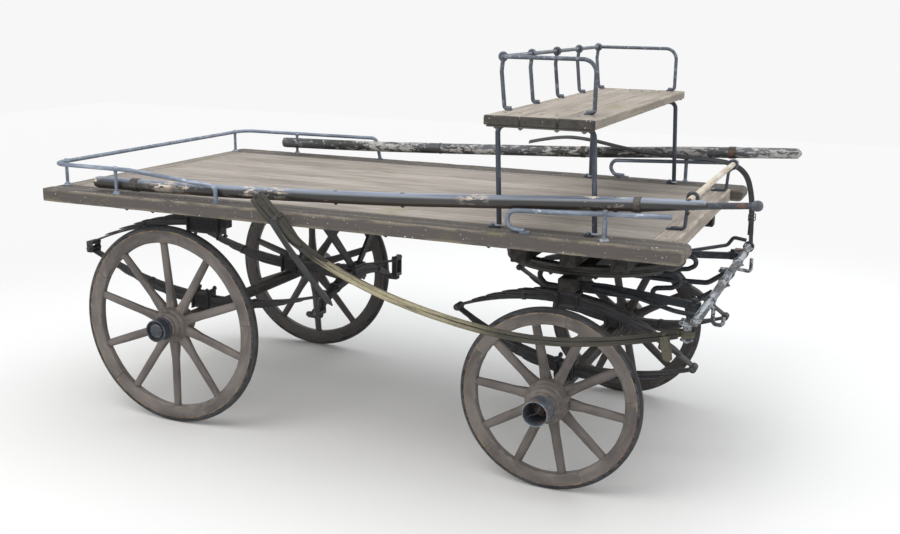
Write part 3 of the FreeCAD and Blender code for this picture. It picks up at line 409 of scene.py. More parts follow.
def old_wood(name, dark, light, crack=(60, 54, 48), worn=None, moss=0.0, specks=0.0, fibre=70, painted=None,
        paint_share=0.5):
    """Dry weathered timber: fibres and cracks along the grain, stains, paler worn edges, moss and specks."""
    f = Finish(name)
    fibres = f.noise(fibre, (0.035, 1, 1), 6, 0.65)
    fine = f.noise(fibre * 4, (0.02, 1, 1), 3, 0.6, seed=3)
    stains = f.noise(5, (0.35, 1, 1), 4, 0.6, seed=7)
    splits = f.level(f.noise(34, (0.018, 1, 1), 5, 0.55, seed=11), 0.36, 0.30)
    colour = f.mix(f.level(fibres, 0.32, 0.68), shade(*dark), shade(*light))
    colour = f.mix(f.both(f.level(fine, 0.5, 0.7), 0.3), colour, shade(*dark))
    colour = f.mix(f.both(f.level(stains, 0.42, 0.72), 0.5), colour, shade(*(c * 0.72 for c in dark)))
    colour = f.mix(f.both(f.layer("tint"), 0.35), colour, shade(*(c * 0.62 for c in dark)))
    colour = f.mix(f.both(splits, 0.8), colour, shade(*crack))
    if painted:
        flakes = f.noise(26, (0.3, 1, 1), 6, 0.7, seed=15)
        left = f.level(flakes, paint_share - 0.04, paint_share + 0.04)
        colour = f.mix(left, colour, shade(*painted))
    if worn:
        rub = f.both(f.layer("wear"), f.level(f.noise(40, (0.2, 1, 1), 4, 0.6, seed=21), 0.38, 0.6))
        colour = f.mix(rub, colour, shade(*worn))
    if moss:
        patch = f.level(f.noise(4.5, (0.7, 1, 1), 5, 0.7, seed=31), 0.66 - moss, 0.78 - moss)
        grown = f.both(patch, f.level(f.noise(120, (1, 1, 1), 3, 0.7, seed=33), 0.35, 0.6))
        colour = f.mix(f.both(grown, 0.75), colour, shade(118, 116, 66))
    if specks:
        dots = f.level(f.noise(85, (0.8, 1, 1), 2, 0.5, seed=41), 0.73 - specks, 0.75 - specks)
        colour = f.mix(dots, colour, shade(205, 200, 190))
    relief = f.calc("SUBTRACT", f.both(fibres, 0.8), f.both(splits, 0.6))
    return f.done(colour, f.level(fibres, 0.3, 0.7, 0.72, 0.9), relief, 0.55, 0.0025)


def old_iron(name, paint, bare, rust=(96, 66, 48), source="grain", worn=0.42, rusty=0.3, rough=0.5, metal=0.25,
        light=None, scale=1.0, dust=None, peel=0.60, run=0.45):
    """Painted iron: patchy paint, chips to the metal, rust spots, rubbed bright places, a hammered surface."""
    f = Finish(name, source)
    cloud = f.noise(9 * scale, (0.5, 1, 1), 5, 0.65)
    grit = f.noise(90 * scale, (1, 1, 1), 3, 0.7, seed=4)
    streak = f.noise(45 * scale, (0.1, 1, 1), 4, 0.6, seed=9)
    colour = f.mix(f.level(cloud, 0.3, 0.7), shade(*(c * 0.78 for c in paint)), shade(*paint))
    chips = f.level(f.noise(38 * scale, (run, 1, 1), 6, 0.75, seed=13), peel, peel + 0.04)
    chips = f.both(chips, worn)
    rub = f.both(f.layer("wear"), f.level(streak, 0.35, 0.6))
    colour = f.mix(f.calc("ADD", chips, f.both(rub, 0.8)), colour, shade(*bare))
    # light: painted highlight streaks, the sky's bluish glint along the iron
    if light:
        colour = f.mix(f.both(f.level(streak, 0.52, 0.72), 0.8), colour, shade(*light))
    if dust:
        lie = f.both(f.level(f.upward(), 0.2, 0.9), f.level(cloud, 0.35, 0.6))
        colour = f.mix(f.both(lie, 0.55), colour, shade(*dust))
    spots = f.level(f.noise(24 * scale, (0.6, 1, 1), 7, 0.72, seed=19), 0.62 - rusty * 0.2, 0.68 - rusty * 0.2)
    spots = f.both(spots, min(1.0, rusty * 2.4))
    colour = f.mix(spots, colour, shade(*rust))
    relief = f.calc("SUBTRACT", f.both(grit, 0.5), f.both(chips, 0.5))
    metallic = f.level(spots, 0.0, 0.6, metal, 0.0)
    return f.done(colour, f.level(grit, 0.3, 0.7, rough, min(1.0, rough + 0.25)), relief, 0.35, 0.0012,
        metallic)


# ---------------------------------------------------------------- the materials used

FAR_WHEEL_SHADE_AND_DIRT = 0.68  # the far wheels' paint is darkened: painted shade of the wagon over them, and dirt


def strap_leather(name, base, tan, worn, tan_low, tan_high):
    """Dry strap leather: creases across, dark sweat and dust, and a stretch worn through to tan."""
    f = Finish(name)
    cloud = f.noise(14, (0.5, 1, 1), 5, 0.65)
    crease = f.noise(150, (1, 0.25, 0.25), 4, 0.6, seed=5)
    pores = f.cells(900)
    colour = f.mix(f.level(cloud, 0.3, 0.7), shade(*(c * 0.6 for c in base)), shade(*base))
    tanned = f.both(f.layer("tint"), f.level(f.noise(60, (0.06, 1, 1), 5, 0.7, seed=8), tan_low, tan_high))
    colour = f.mix(tanned, colour, shade(*tan))
    edge = f.both(f.layer("wear"), f.level(f.noise(50, (0.3, 1, 1), 4, 0.6, seed=12), 0.44, 0.66))
    colour = f.mix(edge, colour, shade(*worn))
    # painted shade: the creases darkened along with their bump
    lines = f.level(crease, 0.42, 0.36)
    colour = f.mix(f.both(lines, 0.4), colour, shade(*(c * 0.45 for c in base)))
    relief = f.calc("ADD", f.both(crease, 0.7), f.both(pores, 0.3))
    return f.done(colour, f.level(cloud, 0.3, 0.7, 0.55, 0.8), relief, 0.5, 0.0015)


def cart_paint(name, painted_shade_and_dirt=1.0):
    """Old grey-brown wheel paint: streaked, dusty, scratched pale, with a rusty line beside the tyre."""
    # tone darkens every colour by painted_shade_and_dirt: painted shade and dirt on the far wheels
    def tone(*rgb):
        return shade(*(c * painted_shade_and_dirt for c in rgb))

    f = Finish(name)
    cloud = f.noise(7, (0.5, 1, 1), 5, 0.6)
    brush = f.noise(110, (0.06, 1, 1), 4, 0.6, seed=2)
    colour = f.mix(f.level(cloud, 0.3, 0.7), tone(71, 66, 64), tone(113, 106, 102))
    colour = f.mix(f.both(f.level(brush, 0.5, 0.75), 0.4), colour, tone(124, 118, 114))
    dirt = f.level(f.noise(3, (1, 1, 1), 4, 0.6, seed=6), 0.5, 0.72)
    colour = f.mix(f.both(dirt, 0.5), colour, tone(66, 61, 56))
    scratch = f.level(f.noise(60, (0.08, 1, 1), 6, 0.7, seed=10), 0.66, 0.69)
    colour = f.mix(f.both(scratch, 0.7), colour, tone(168, 160, 152))
    edge = f.both(f.layer("wear"), f.level(f.noise(32, (0.3, 1, 1), 5, 0.7, seed=14), 0.45, 0.62))
    colour = f.mix(f.both(edge, 0.7), colour, tone(138, 128, 116))
    line = f.both(f.layer("tint"), f.level(f.noise(46, (0.5, 1, 1), 5, 0.7, seed=18), 0.41, 0.55))
    rust = f.mix(f.level(f.noise(18, (1, 1, 1), 3, 0.6, seed=22), 0.42, 0.58), tone(124, 86, 54),
        tone(158, 134, 90))
    colour = f.mix(line, colour, rust)
    relief = f.calc("SUBTRACT", brush, f.both(scratch, 0.8))
    return f.done(colour, f.level(cloud, 0.3, 0.7, 0.42, 0.62), relief, 0.4, 0.0012)


def tyre_rubber():
    """Old black rubber with dust in its grit."""
    f = Finish("tyre_rubber")
    cloud = f.noise(16, (0.4, 1, 1), 4, 0.6)
    grit = f.noise(160, (1, 1, 1), 3, 0.7, seed=3)
    colour = f.mix(f.level(cloud, 0.3, 0.7), shade(38, 38, 39), shade(64, 63, 62))
    dust = f.level(grit, 0.58, 0.74)
    colour = f.mix(f.both(dust, 0.5), colour, shade(118, 112, 104))
    return f.done(colour, f.level(cloud, 0.3, 0.7, 0.7, 0.85), grit, 0.4, 0.001)


def near_shaft_paint():
    """Black gloss: a painted blue-grey sky reflection on top, brown-black below, cream where it has peeled."""
    f = Finish("shaft_near_paint")
    cloud = f.noise(6, (0.3, 1, 1), 5, 0.6)
    streak = f.noise(60, (0.03, 1, 1), 4, 0.6, seed=2)
    up = f.upward()
    colour = f.mix(f.level(cloud, 0.3, 0.7), shade(40, 40, 40), shade(58, 57, 56))
    # painted reflection: the sky's blue-grey laid on where the shaft faces up
    sky = f.both(f.level(up, 0.25, 0.85), f.level(streak, 0.2, 0.55))
    colour = f.mix(f.both(sky, 0.9), colour, shade(128, 138, 156))
    brown = f.both(f.level(up, -0.05, -0.6), f.level(cloud, 0.35, 0.6))
    colour = f.mix(f.both(brown, 0.7), colour, shade(66, 52, 42))
    peel = f.both(f.layer("tint"), f.level(f.noise(20, (0.35, 1, 1), 7, 0.78, seed=7), 0.50, 0.53))
    under = f.mix(f.level(f.noise(50, (0.3, 1, 1), 4, 0.7, seed=9), 0.4, 0.6), shade(206, 186, 166),
        shade(228, 220, 208))
    colour = f.mix(peel, colour, under)
    rub = f.level(f.noise(70, (0.12, 1, 1), 5, 0.7, seed=13), 0.68, 0.71)
    colour = f.mix(f.both(rub, 0.8), colour, shade(150, 150, 152))
    relief = f.calc("SUBTRACT", f.both(streak, 0.4), f.both(peel, 0.9))
    return f.done(colour, f.level(peel, 0.0, 1.0, 0.32, 0.85), relief, 0.5, 0.002)


def far_shaft_paint():
    """Paint crazed into small flakes: black with white between, or the other way round."""
    f = Finish("shaft_far_paint")
    flakes = f.noise(46, (0.4, 1, 1), 8, 0.8, warp=0.6)
    where = f.noise(2.4, (0.8, 1, 1), 3, 0.6, seed=5)
    amount = f.calc("ADD", f.both(flakes, 0.7), f.both(where, 0.35))
    white = f.level(amount, 0.535, 0.56)
    colour = f.mix(f.level(f.noise(12, (0.2, 1, 1), 4, 0.6, seed=8), 0.35, 0.65), shade(34, 34, 34),
        shade(74, 78, 84))
    colour = f.mix(white, colour, shade(170, 168, 165))
    return f.done(colour, f.level(white, 0.0, 1.0, 0.45, 0.85), flakes, 0.6, 0.003)


deck_wood = old_wood("deck_planks", (132, 123, 114), (172, 165, 158), (84, 76, 68), moss=0.09,
    worn=(150, 142, 132))
sill_wood = old_wood("sill_timber", (70, 65, 61), (98, 92, 86), (48, 43, 40), worn=(126, 118, 104), moss=0.09,
    specks=0.035, fibre=60, painted=(82, 77, 74), paint_share=0.40)
front_wood = old_wood("front_board_timber", (132, 122, 111), (170, 161, 150), (88, 78, 68),
    worn=(178, 169, 157), moss=0.03)
rear_wood = old_wood("rear_board_timber", (112, 103, 94), (152, 144, 136), (70, 63, 56), moss=0.06)
# The frame timber is black paint, made darker still: painted shade under the deck.
frame_wood = old_wood("frame_timber", (32, 31, 30), (46, 44, 42), (22, 21, 20), worn=(60, 57, 54), fibre=50)
seat_wood = old_wood("seat_planks", (130, 120, 109), (168, 159, 149), (80, 72, 64), worn=(150, 142, 128),
    moss=0.08, specks=0.01)
seat_end_wood = old_wood("seat_plank_ends", (46, 44, 42), (66, 63, 61), (32, 30, 28), worn=(66, 63, 58),
    moss=0.12, specks=0.02)
pale_rail = old_wood("pale_rail_wood", (168, 154, 136), (206, 194, 176), (112, 98, 82), worn=(214, 204, 190),
    moss=0.05, painted=(196, 190, 180), paint_share=0.52)
# In these irons, light= lays painted highlight streaks along the metal.
iron_strip = old_iron("seat_strap_iron", (44, 43, 43), (96, 92, 88), rusty=0.2)
nut_iron = old_iron("pale_nuts", (122, 120, 118), (168, 166, 164), rusty=0.5, rough=0.55)
dark_bolts = old_iron("dark_bolts", (42, 41, 40), (92, 88, 84), rusty=0.35)
spring_iron = old_iron("spring_steel", (50, 50, 53), (86, 86, 90), worn=0.3, rusty=0.08, rough=0.55,
    dust=(84, 80, 76))
spring_iron_cad = old_iron("spring_steel_fittings", (46, 46, 48), (82, 82, 86), source="X", worn=0.3, rusty=0.1)
rail_iron = old_iron("rail_iron", (128, 138, 154), (196, 202, 212), source="X", worn=0.7, rusty=0.10,
    rough=0.42, light=(166, 176, 192), metal=0.35)
seat_iron = old_iron("seat_rail_iron", (92, 98, 108), (160, 166, 176), source="Y", worn=0.6, rusty=0.14,
    rough=0.42, light=(138, 146, 160), metal=0.35)
turn_iron = old_iron("turntable_iron", (44, 44, 43), (84, 82, 80), worn=0.35, rusty=0.16, rough=0.5)
turn_iron_cad = old_iron("forecarriage_iron", (44, 44, 43), (84, 82, 80), source="X", worn=0.35, rusty=0.16)
bar_iron = old_iron("splinter_bar_paint", (72, 75, 80), (160, 166, 172), source="Y", worn=1.0, rusty=0.30,
    rust=(112, 80, 64), rough=0.5, metal=0.2, light=(122, 128, 134), peel=0.50, run=0.10)
axle_iron = old_iron("axle_iron", (52, 51, 50), (90, 88, 86), worn=0.3, rusty=0.2, rough=0.7, dust=(92, 86, 80))
rim_iron = old_iron("tyre_channel_iron", (42, 43, 45), (96, 100, 108), worn=0.6, rusty=0.12, rough=0.45,
    metal=0.4, scale=0.8)
cap_iron = old_iron("hub_cap_iron", (96, 106, 118), (150, 156, 162), worn=0.5, rusty=0.32, rust=(126, 84, 56),
    rough=0.42, metal=0.35)
cap_dark = old_iron("hub_cap_inside", (48, 46, 46), (88, 84, 82), worn=0.3, rusty=0.3, rough=0.7)
rear_cap_iron = old_iron("rear_cap_iron", (58, 64, 72), (110, 112, 118), worn=0.4, rusty=0.25, rough=0.45,
    metal=0.3)
knob_iron = old_iron("shaft_iron", (70, 74, 82), (118, 120, 126), worn=0.5, rusty=0.42, rust=(98, 70, 54),
    rough=0.6, light=(96, 104, 118))
# The far wheels get a darker copy of the paint: painted shade as well as dirt.
wheel_paint, far_wheel_shaded_paint = cart_paint("wheel_paint"), cart_paint("far_wheel_shaded_paint", FAR_WHEEL_SHADE_AND_DIRT)
rubber = tyre_rubber()
shaft_near_paint, shaft_far_paint = near_shaft_paint(), far_shaft_paint()
trace_leather = strap_leather("trace_leather", (42, 41, 36), (160, 152, 124), (80, 76, 58), 0.36, 0.58)
far_leather = strap_leather("far_strap_leather", (52, 53, 56), (92, 88, 80), (96, 98, 96), 0.5, 0.7)
buckle_iron = old_iron("buckle_iron", (94, 94, 96), (156, 156, 158), rusty=0.35, rough=0.5)

# ---------------------------------------------------------------- leather straps


def route_curve(name, points):
    """The strap's own line: one smooth spline over its route."""
    curve = bpy.data.curves.new(name, "CURVE")
    curve.dimensions = "3D"
    spline = curve.splines.new("NURBS")
    spline.points.add(len(points) - 1)
    for knot, at in zip(spline.points, points):
        knot.co = (*at, 1)
    spline.order_u = 3
    spline.use_endpoint_u = True
    spline.resolution_u = 24
    obj = bpy.data.objects.new(name, curve)
    mesh = bpy.data.meshes.new_from_object(obj)
    line = [v.co.copy() for v in mesh.vertices]
    bpy.data.objects.remove(obj)
    bpy.data.curves.remove(curve)
    bpy.data.meshes.remove(mesh)
    return line


def along(line, far):
    """The point and heading at a distance along a line."""
    for a, b in zip(line, line[1:]):
        run = (b - a).length
        if far <= run or b is line[-1]:
            return a.lerp(b, min(1.0, far / max(run, 1e-9))), (b - a).normalized()
        far -= run
    return line[-1], (line[-1] - line[-2]).normalized()


def strap_section(wide, thick, plump):
    """A flat strap's outline: two or more plies with rounded edges and a shallow groove near each edge."""
    half, t = wide / 2, thick / 2
    groove = 0.3 if thick > 8 * MM else 1.0
    top = [(half, 0.0, 1.0), (half * 0.97, t * 0.7, 1.0), (half * 0.88, t, 0.6), (half * 0.80, t * 0.82, 0.0),
        (half * 0.72, t, 0.1), (half * 0.09, t * plump, 0.0), (0.0, t * groove, 0.0),
        (-half * 0.09, t * plump, 0.0), (-half * 0.72, t, 0.1), (-half * 0.80, t * 0.82, 0.0),
        (-half * 0.88, t, 0.6), (-half * 0.97, t * 0.7, 1.0), (-half, 0.0, 1.0)]
    return top + [(a, -b, w) for a, b, w in reversed(top[1:-1])]


def strap(build, line, wide, thick, face, tint, twist=0.0, trim=None):
    """A strap along a line; face is the direction its flat side looks in."""
    count = len(line)
    seed = chance.uniform(0, 30)
    total = length_of(line)

    def across(k):
        ahead = (line[min(k + 1, count - 1)] - line[max(k - 1, 0)]).normalized()
        look = face(k / (count - 1)) if callable(face) else face
        turn = Matrix.Rotation(twist * (noise.noise(Vector((seed, k / count * 3, 0)))), 3, ahead)
        return turn @ look.cross(ahead)

    def section(k, share):
        size = trim(share) if trim else 1.0
        wave = 1 + 0.03 * noise.noise(Vector((seed, share * total * 14, 5)))
        lift = 1.2 * MM * noise.noise(Vector((share * total * 9, seed, 2)))
        return [(a * wave * size, b * (0.6 + 0.4 * size) + lift, w)
                for a, b, w in strap_section(wide, thick, 1.06)]

    sweep(build, line, section, across, tint=tint)


def stitches(build, line, wide, thick, face, start, end):
    """Short raised stitches near both edges of a strap."""
    far, gap, long = start, 9 * MM, 2.6 * MM
    while far < end:
        at, ahead = along(line, far)
        look = (face - ahead * face.dot(ahead)).normalized()
        across = look.cross(ahead).normalized()
        for side in (-1, 1):
            base = at + across * side * wide * 0.40 + look * thick * 0.5
            path = [base - ahead * long, base + look * 0.8 * MM, base + ahead * long]
            tube(build, path, 0.7 * MM, 6, across, 1)
        far += gap


def buckle(build, at, ahead, across, look, wide, slot=0):
    """A square strap buckle with rounded corners, a tongue and its bar."""
    half, long, bar, corner = wide / 2 + 5 * MM, 20 * MM, 2.6 * MM, 6 * MM
    corners = []
    for quarter, (sx, sy) in enumerate(((1, 1), (-1, 1), (-1, -1), (1, -1))):
        for step in range(4):
            turn = quarter * math.pi / 2 + step * math.pi / 6
            corners.append(at + across * (sx * (half - corner) + corner * math.cos(turn))
                           + ahead * (sy * (long - corner) + corner * math.sin(turn)) + look * 5 * MM)
    tube(build, corners + corners[:2], bar, 8, look, slot)
    middle = [at - across * half + look * 5 * MM, at + look * 5.5 * MM, at + across * half + look * 5 * MM]
    tube(build, middle, bar, 8, look, slot)
    tongue = [at + look * 8 * MM, at + ahead * long * 0.5 + look * 9.5 * MM,
        at + ahead * (long + 2 * MM) + look * 7 * MM]
    tube(build, tongue, 1.9 * MM, 8, look, slot)


ROLLER_X = 1.536

# The routes of the three free straps, in metres.
TRACE = [(-0.424, -0.912, 1.272), (-0.315, -0.935, 1.182), (-0.140, -0.928, 1.020), (0.285, -0.905, 0.842),
    (0.860, -0.880, 0.735), (1.300, -0.862, 0.785), (1.505, -0.758, 0.820)]
TAIL = [(-0.306, -0.972, 1.176), (-0.218, -0.980, 1.062), (-0.096, -0.975, 0.915), (0.002, -0.968, 0.812)]
FAR_STRAP = [(0.300, 0.842, 1.374), (0.484, 0.838, 1.420), (0.667, 0.817, 1.413), (0.820, 0.803, 1.386),
    (0.961, 0.803, 1.362), (1.130, 0.803, 1.349), (1.290, 0.803, 1.347), (1.430, 0.803, 1.341),
    (1.536, 0.811, 1.290), (1.572, 0.820, 1.168), (1.581, 0.826, 1.050), (1.578, 0.838, 0.946)]


def bump_share(value, low, high, soft):
    """1 between low and high, fading over soft on each side."""
    return max(0.0, min(1.0, (value - low) / soft)) * max(0.0, min(1.0, (high - value) / soft))


def near_trace():
    """The long trace from the near shaft's hook down to the near roller bolt."""
    line = route_curve("trace_route", TRACE)
    total = length_of(line)
    facing = Vector((0.1, -1.0, 0.55)).normalized()
    wide, thick = 40 * MM, 9 * MM
    build = Build()

    def tan(far, a, b):
        return max(0.10 * bump_share(far, 0.40, 2.0, 0.3), bump_share(far, 0.30, 1.36, 0.30))

    strap(build, line, wide, thick, facing, tan, twist=0.25,
          trim=lambda share: 0.72 + 0.28 * min(1.0, share * 5))
    stitches(build, line, wide, thick, facing, 0.46, total - 0.12)
    piece = build.piece("trace_strap", None, [trace_leather, pale_stitch], "strap_leather")
    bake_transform(piece)
    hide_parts("trace_near")
    bundle = trace_bundle(line, facing)
    loop = trace_loop(line)


def trace_bundle(line, facing):
    """The gathered top: thinner straps lying along the trace, and a wire tie round them."""
    build = Build()
    for k, (side, out, start, end, wide) in enumerate(((-17, 9, 0.01, 0.40, 22), (16, 10, 0.02, 0.47, 24),
            (0, 16, 0.03, 0.33, 26), (8, -9, 0.03, 0.38, 26))):
        path = []
        for step in range(15):
            share = step / 14
            at, ahead = along(line, start + (end - start) * share)
            across = facing.cross(ahead).normalized()
            spread = side * (1.25 - 0.35 * share + 0.35 * math.sin(share * 5 + k)) * MM
            lift = (out + 5 * math.sin(share * 7 + k)) * MM * (1 - 0.5 * share)
            path.append(at + across * spread + facing * lift)
        strap(build, path, wide * MM, 6 * MM, facing, 0.03 + 0.02 * k, twist=0.8,
            trim=lambda share: 1.0 - 0.5 * max(0.0, share - 0.9) * 10)
    bundle = build.piece("trace_bundle", "bed", [trace_leather, pale_stitch], "strap_leather")
    build = Build()
    at, ahead = along(line, 0.155)
    across = facing.cross(ahead).normalized()
    for turn in range(2):
        ring = []
        for k in range(29):
            angle = 2 * math.pi * k / 28 + turn
            ring.append(at + across * 34 * MM * math.cos(angle) + facing * (5 + 24 * math.sin(angle)) * MM
                + ahead * (turn * 7 + k * 0.15) * MM)
        tube(build, ring, 2.0 * MM, 8, side=ahead)
    for k, reach in enumerate((20, 34)):
        end = [at + facing * 28 * MM, at + facing * (32 + 3 * k) * MM + ahead * reach * 0.5 * MM,
               at + facing * 26 * MM + ahead * reach * MM + across * (8 - 14 * k) * MM]
        tube(build, smooth_path(end), 1.8 * MM, 8, across)
    tie = build.piece("trace_wire_tie", "bed", [buckle_iron], "strap_leather")
    return [bundle, tie]


def rounded_tip(start, least):
    """A strap's trim: full width up to start, then a round end."""
    def trim(share):
        past = max(0.0, share - start) / (1 - start)
        return 1.0 if share < start else math.sqrt(max(least, 1 - past ** 2))

    return trim


def trace_loop(line):
    """The front end: a loop round the roller bolt, and the two ends that hang from it."""
    roller = Vector((ROLLER_X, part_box("roller_bolts")[0].y + 0.037, 0.812))
    build = Build()
    ring = []
    start, heading = line[-1], (line[-1] - line[-6]).normalized()
    for k in range(25):
        angle = math.radians(-150 + 300 * k / 24)
        ring.append(roller + Vector((math.cos(angle) * 28, math.sin(angle) * 28, 1.5 * math.sin(k))) * MM)
    path = [start - heading * 60 * MM - Y * 6 * MM] + ring + [start - heading * 55 * MM + Y * 14 * MM]
    strap(build, smooth_path(path, 0.006), 30 * MM, 6 * MM,
          lambda share: (smooth_at(path, share) - roller).normalized() + Z * 0.01, 0.25, twist=0.1)
    for offset, wide, fall, lean in ((-0.012, 42, 0.105, 0.02), (0.022, 26, 0.070, -0.02)):
        base = start - heading * 0.050 + Y * offset
        hang = [base, base - Z * fall * 0.3 + X * lean * 0.3, base - Z * fall * 0.75 + X * lean * 0.8,
            base - Z * fall + X * lean]
        strap(build, smooth_path(hang, 0.006), wide * MM, 6 * MM, Vector((0.2, -1, 0.1)).normalized(), 0.2,
            twist=0.5, trim=rounded_tip(0.86, 0.05))
    return build.piece("trace_loop", "forecarriage", [trace_leather, pale_stitch], "strap_leather")


def smooth_at(path, share):
    """The point at a share of a path's own steps."""
    spot = share * (len(path) - 1)
    k = min(int(spot), len(path) - 2)
    return path[k].lerp(path[k + 1], spot - k)


def hanging_tail():
    """The loose end that hangs beside the trace."""
    line = route_curve("tail_route", TAIL)
    facing = Vector((0.05, -1.0, 0.35)).normalized()
    build = Build()
    strap(build, line, 29 * MM, 6 * MM, facing, 0.12, twist=0.5,
        trim=lambda share: 1.0 if share < 0.93 else max(0.25, 1 - ((share - 0.93) / 0.07) ** 2))
    piece = build.piece("trace_tail_strap", "bed", [far_leather], "strap_leather", ["trace_tail"])


def far_strap():
    """The strap from behind the seat over the front board to the splinter bar's far end, and its buckle."""
    line = route_curve("far_strap_route", FAR_STRAP)
    total = length_of(line)
    look = Vector((0.55, -0.85, 0)).normalized()

    def facing(share):
        turn = max(0.0, min(1.0, (share - 0.62) / 0.16))
        return (Vector((0, -0.55, 1)) * (1 - turn) + look * turn).normalized()

    build = Build()
    strap(build, line, 30 * MM, 7 * MM, facing, 0.2, twist=0.3)
    piece = build.piece("far_strap", None, [far_leather], "strap_leather")
    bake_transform(piece)
    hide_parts("strap_far")
    build = Build()
    at, ahead = along(line, total - 0.10)
    buckle(build, at, ahead, look.cross(ahead).normalized(), look, 30 * MM, slot=1)
    end = line[-1]
    hang = smooth_path([end + Z * 0.05 + look * 8 * MM, end + look * 12 * MM,
        end - Z * 0.05 + look * 16 * MM + Y * 4 * MM, end - Z * 0.075 + look * 20 * MM], 0.006)
    strap(build, hang, 24 * MM, 6 * MM, look, 0.1, twist=0.3, trim=rounded_tip(0.85, 0.06))
    hook = Vector((1.578, 0.838 - 0.020, 0.884))
    ring = [hook + Vector((math.cos(a), 0, math.sin(a))) * 26 * MM
        for a in [math.pi * 2 * k / 32 for k in range(33)]]
    sweep(build, ring, lambda k, share: strap_section(30 * MM, 6 * MM, 1.0), Y, tint=0.1)
    keeper = build.piece("far_strap_buckle", "forecarriage", [far_leather, buckle_iron], "strap_leather")


pale_stitch = old_iron("stitch_thread", (120, 114, 92), (150, 142, 118), rusty=0.0, rough=0.85, metal=0.0)
near_trace()
hanging_tail()
far_strap()


# ---------------------------------------------------------------- wheels

RIM_DEPTH = {"front": 57 * MM, "rear": 65 * MM}
SPOKE_LEAN = {"front": -8 * MM, "rear": -24 * MM}
NAVE_BELLY = {"front": (100.5, 30), "rear": (96.5, -26)}
FIRST_SPOKE = {"front": 0.525, "rear": 0.36}
SPOKES, FELLOES = 10, 5
SPOKE_ROOT, FIRST_JOINT = 0.074, 0.13


def around(centre, radius, angle, out):
    """A point on a wheel: out is along its axle, towards the outside."""
    return centre + Vector((radius * math.cos(angle), 0, radius * math.sin(angle))) + out


def felloe_ring(build, centre, face, outer, inner, half):
    """Bent rim segments, two spokes to each, rounded inside between the spokes, a fine gap at each joint."""
    count, gap = 22, 0.0035
    for part in range(FELLOES):
        start = 2 * math.pi * part / FELLOES + FIRST_JOINT
        stop = start + 2 * math.pi / FELLOES - gap
        spread = 0.6 * MM * math.sin(part * 2.3)
        rings, grain, wear, tints = [], [], [], []
        shift = loose()
        for k in range(count + 1):
            angle = start + (stop - start) * k / count
            seam = 0.0 if 0 < k < count else 1.0
            dip = 1.3 * MM * seam
            soft = 8.5 * MM + 2.5 * MM * math.sin((angle - start) * SPOKES)
            outline = mirrored([(outer, -half + 1.2 * MM, 0.3, 1.0), (outer - 1.5 * MM, -half + dip, 0.6, 1.0),
                (outer - 5 * MM, -half + dip, 0.0, 0.25), (outer - 9 * MM, -half + dip, 0.0, 0.0),
                (inner + soft, -half + dip, 0.4, 0.0), (inner + soft * 0.35, -half + soft * 0.30, 0.9, 0.0),
                (inner + dip, -half + soft * 0.85, 0.7, 0.0)], (inner + dip, 0.0, 0.0, 0.0))
            for radius, across, w, line in outline:
                bump = 0.5 * MM * noise.noise(Vector((angle * 9, across * 40, part * 7)))
                rings.append(around(centre, radius + (spread if radius < outer - 6 * MM else 0), angle,
                    face * (-across + bump)))
                grain.append(Vector((angle * outer, radius, across)) + shift)
                wear.append(max(w, seam * 0.8))
                tints.append(line)
        build.add(rings, ring_faces(count + 1, len(outline)), grain, wear, tints)


def spoke(build, centre, face, angle, root, tip, lean):
    """A spoke: square-shouldered at the nave, then oval, a little waisted, round at its foot in the felloe."""
    out = Vector((math.cos(angle), 0, math.sin(angle)))
    across = Vector((-math.sin(angle), 0, math.cos(angle)))
    count = 16
    path = [centre + out * (root + (tip - root) * k / count) + face * lean * (1 - k / count)
        for k in range(count + 1)]

    def section(k, share):
        square = max(0.0, 1 - share / 0.30)
        wide = (19.5 + 9.0 * max(0.0, 1 - share / 0.34) ** 1.4 + 2.5 * math.sin(share * math.pi)) * MM
        deep = (16.5 + 5.0 * max(0.0, 1 - share / 0.5)) * MM
        power = 2.0 + 3.2 * square
        ring = []
        for j in range(16):
            turn = 2 * math.pi * j / 16
            c, s = math.cos(turn), math.sin(turn)
            size = (abs(c) ** power + abs(s) ** power) ** (-1 / power)
            ring.append((c * size * wide, s * size * deep, 0.55 * square * (abs(c * s) > 0.3) + 0.12))
        return ring

    sweep(build, path, section, across)
    ferrule = [(1.0, 0.0, 0.0), (1.09, 0.002, 0.5), (1.07, 0.006, 0.2), (1.0, 0.008, 0.0)]
    turned(build, path[-1] - out * 8 * MM, out, [(19.0 * MM * r, h, w) for r, h, w in ferrule], 16, caps=False)


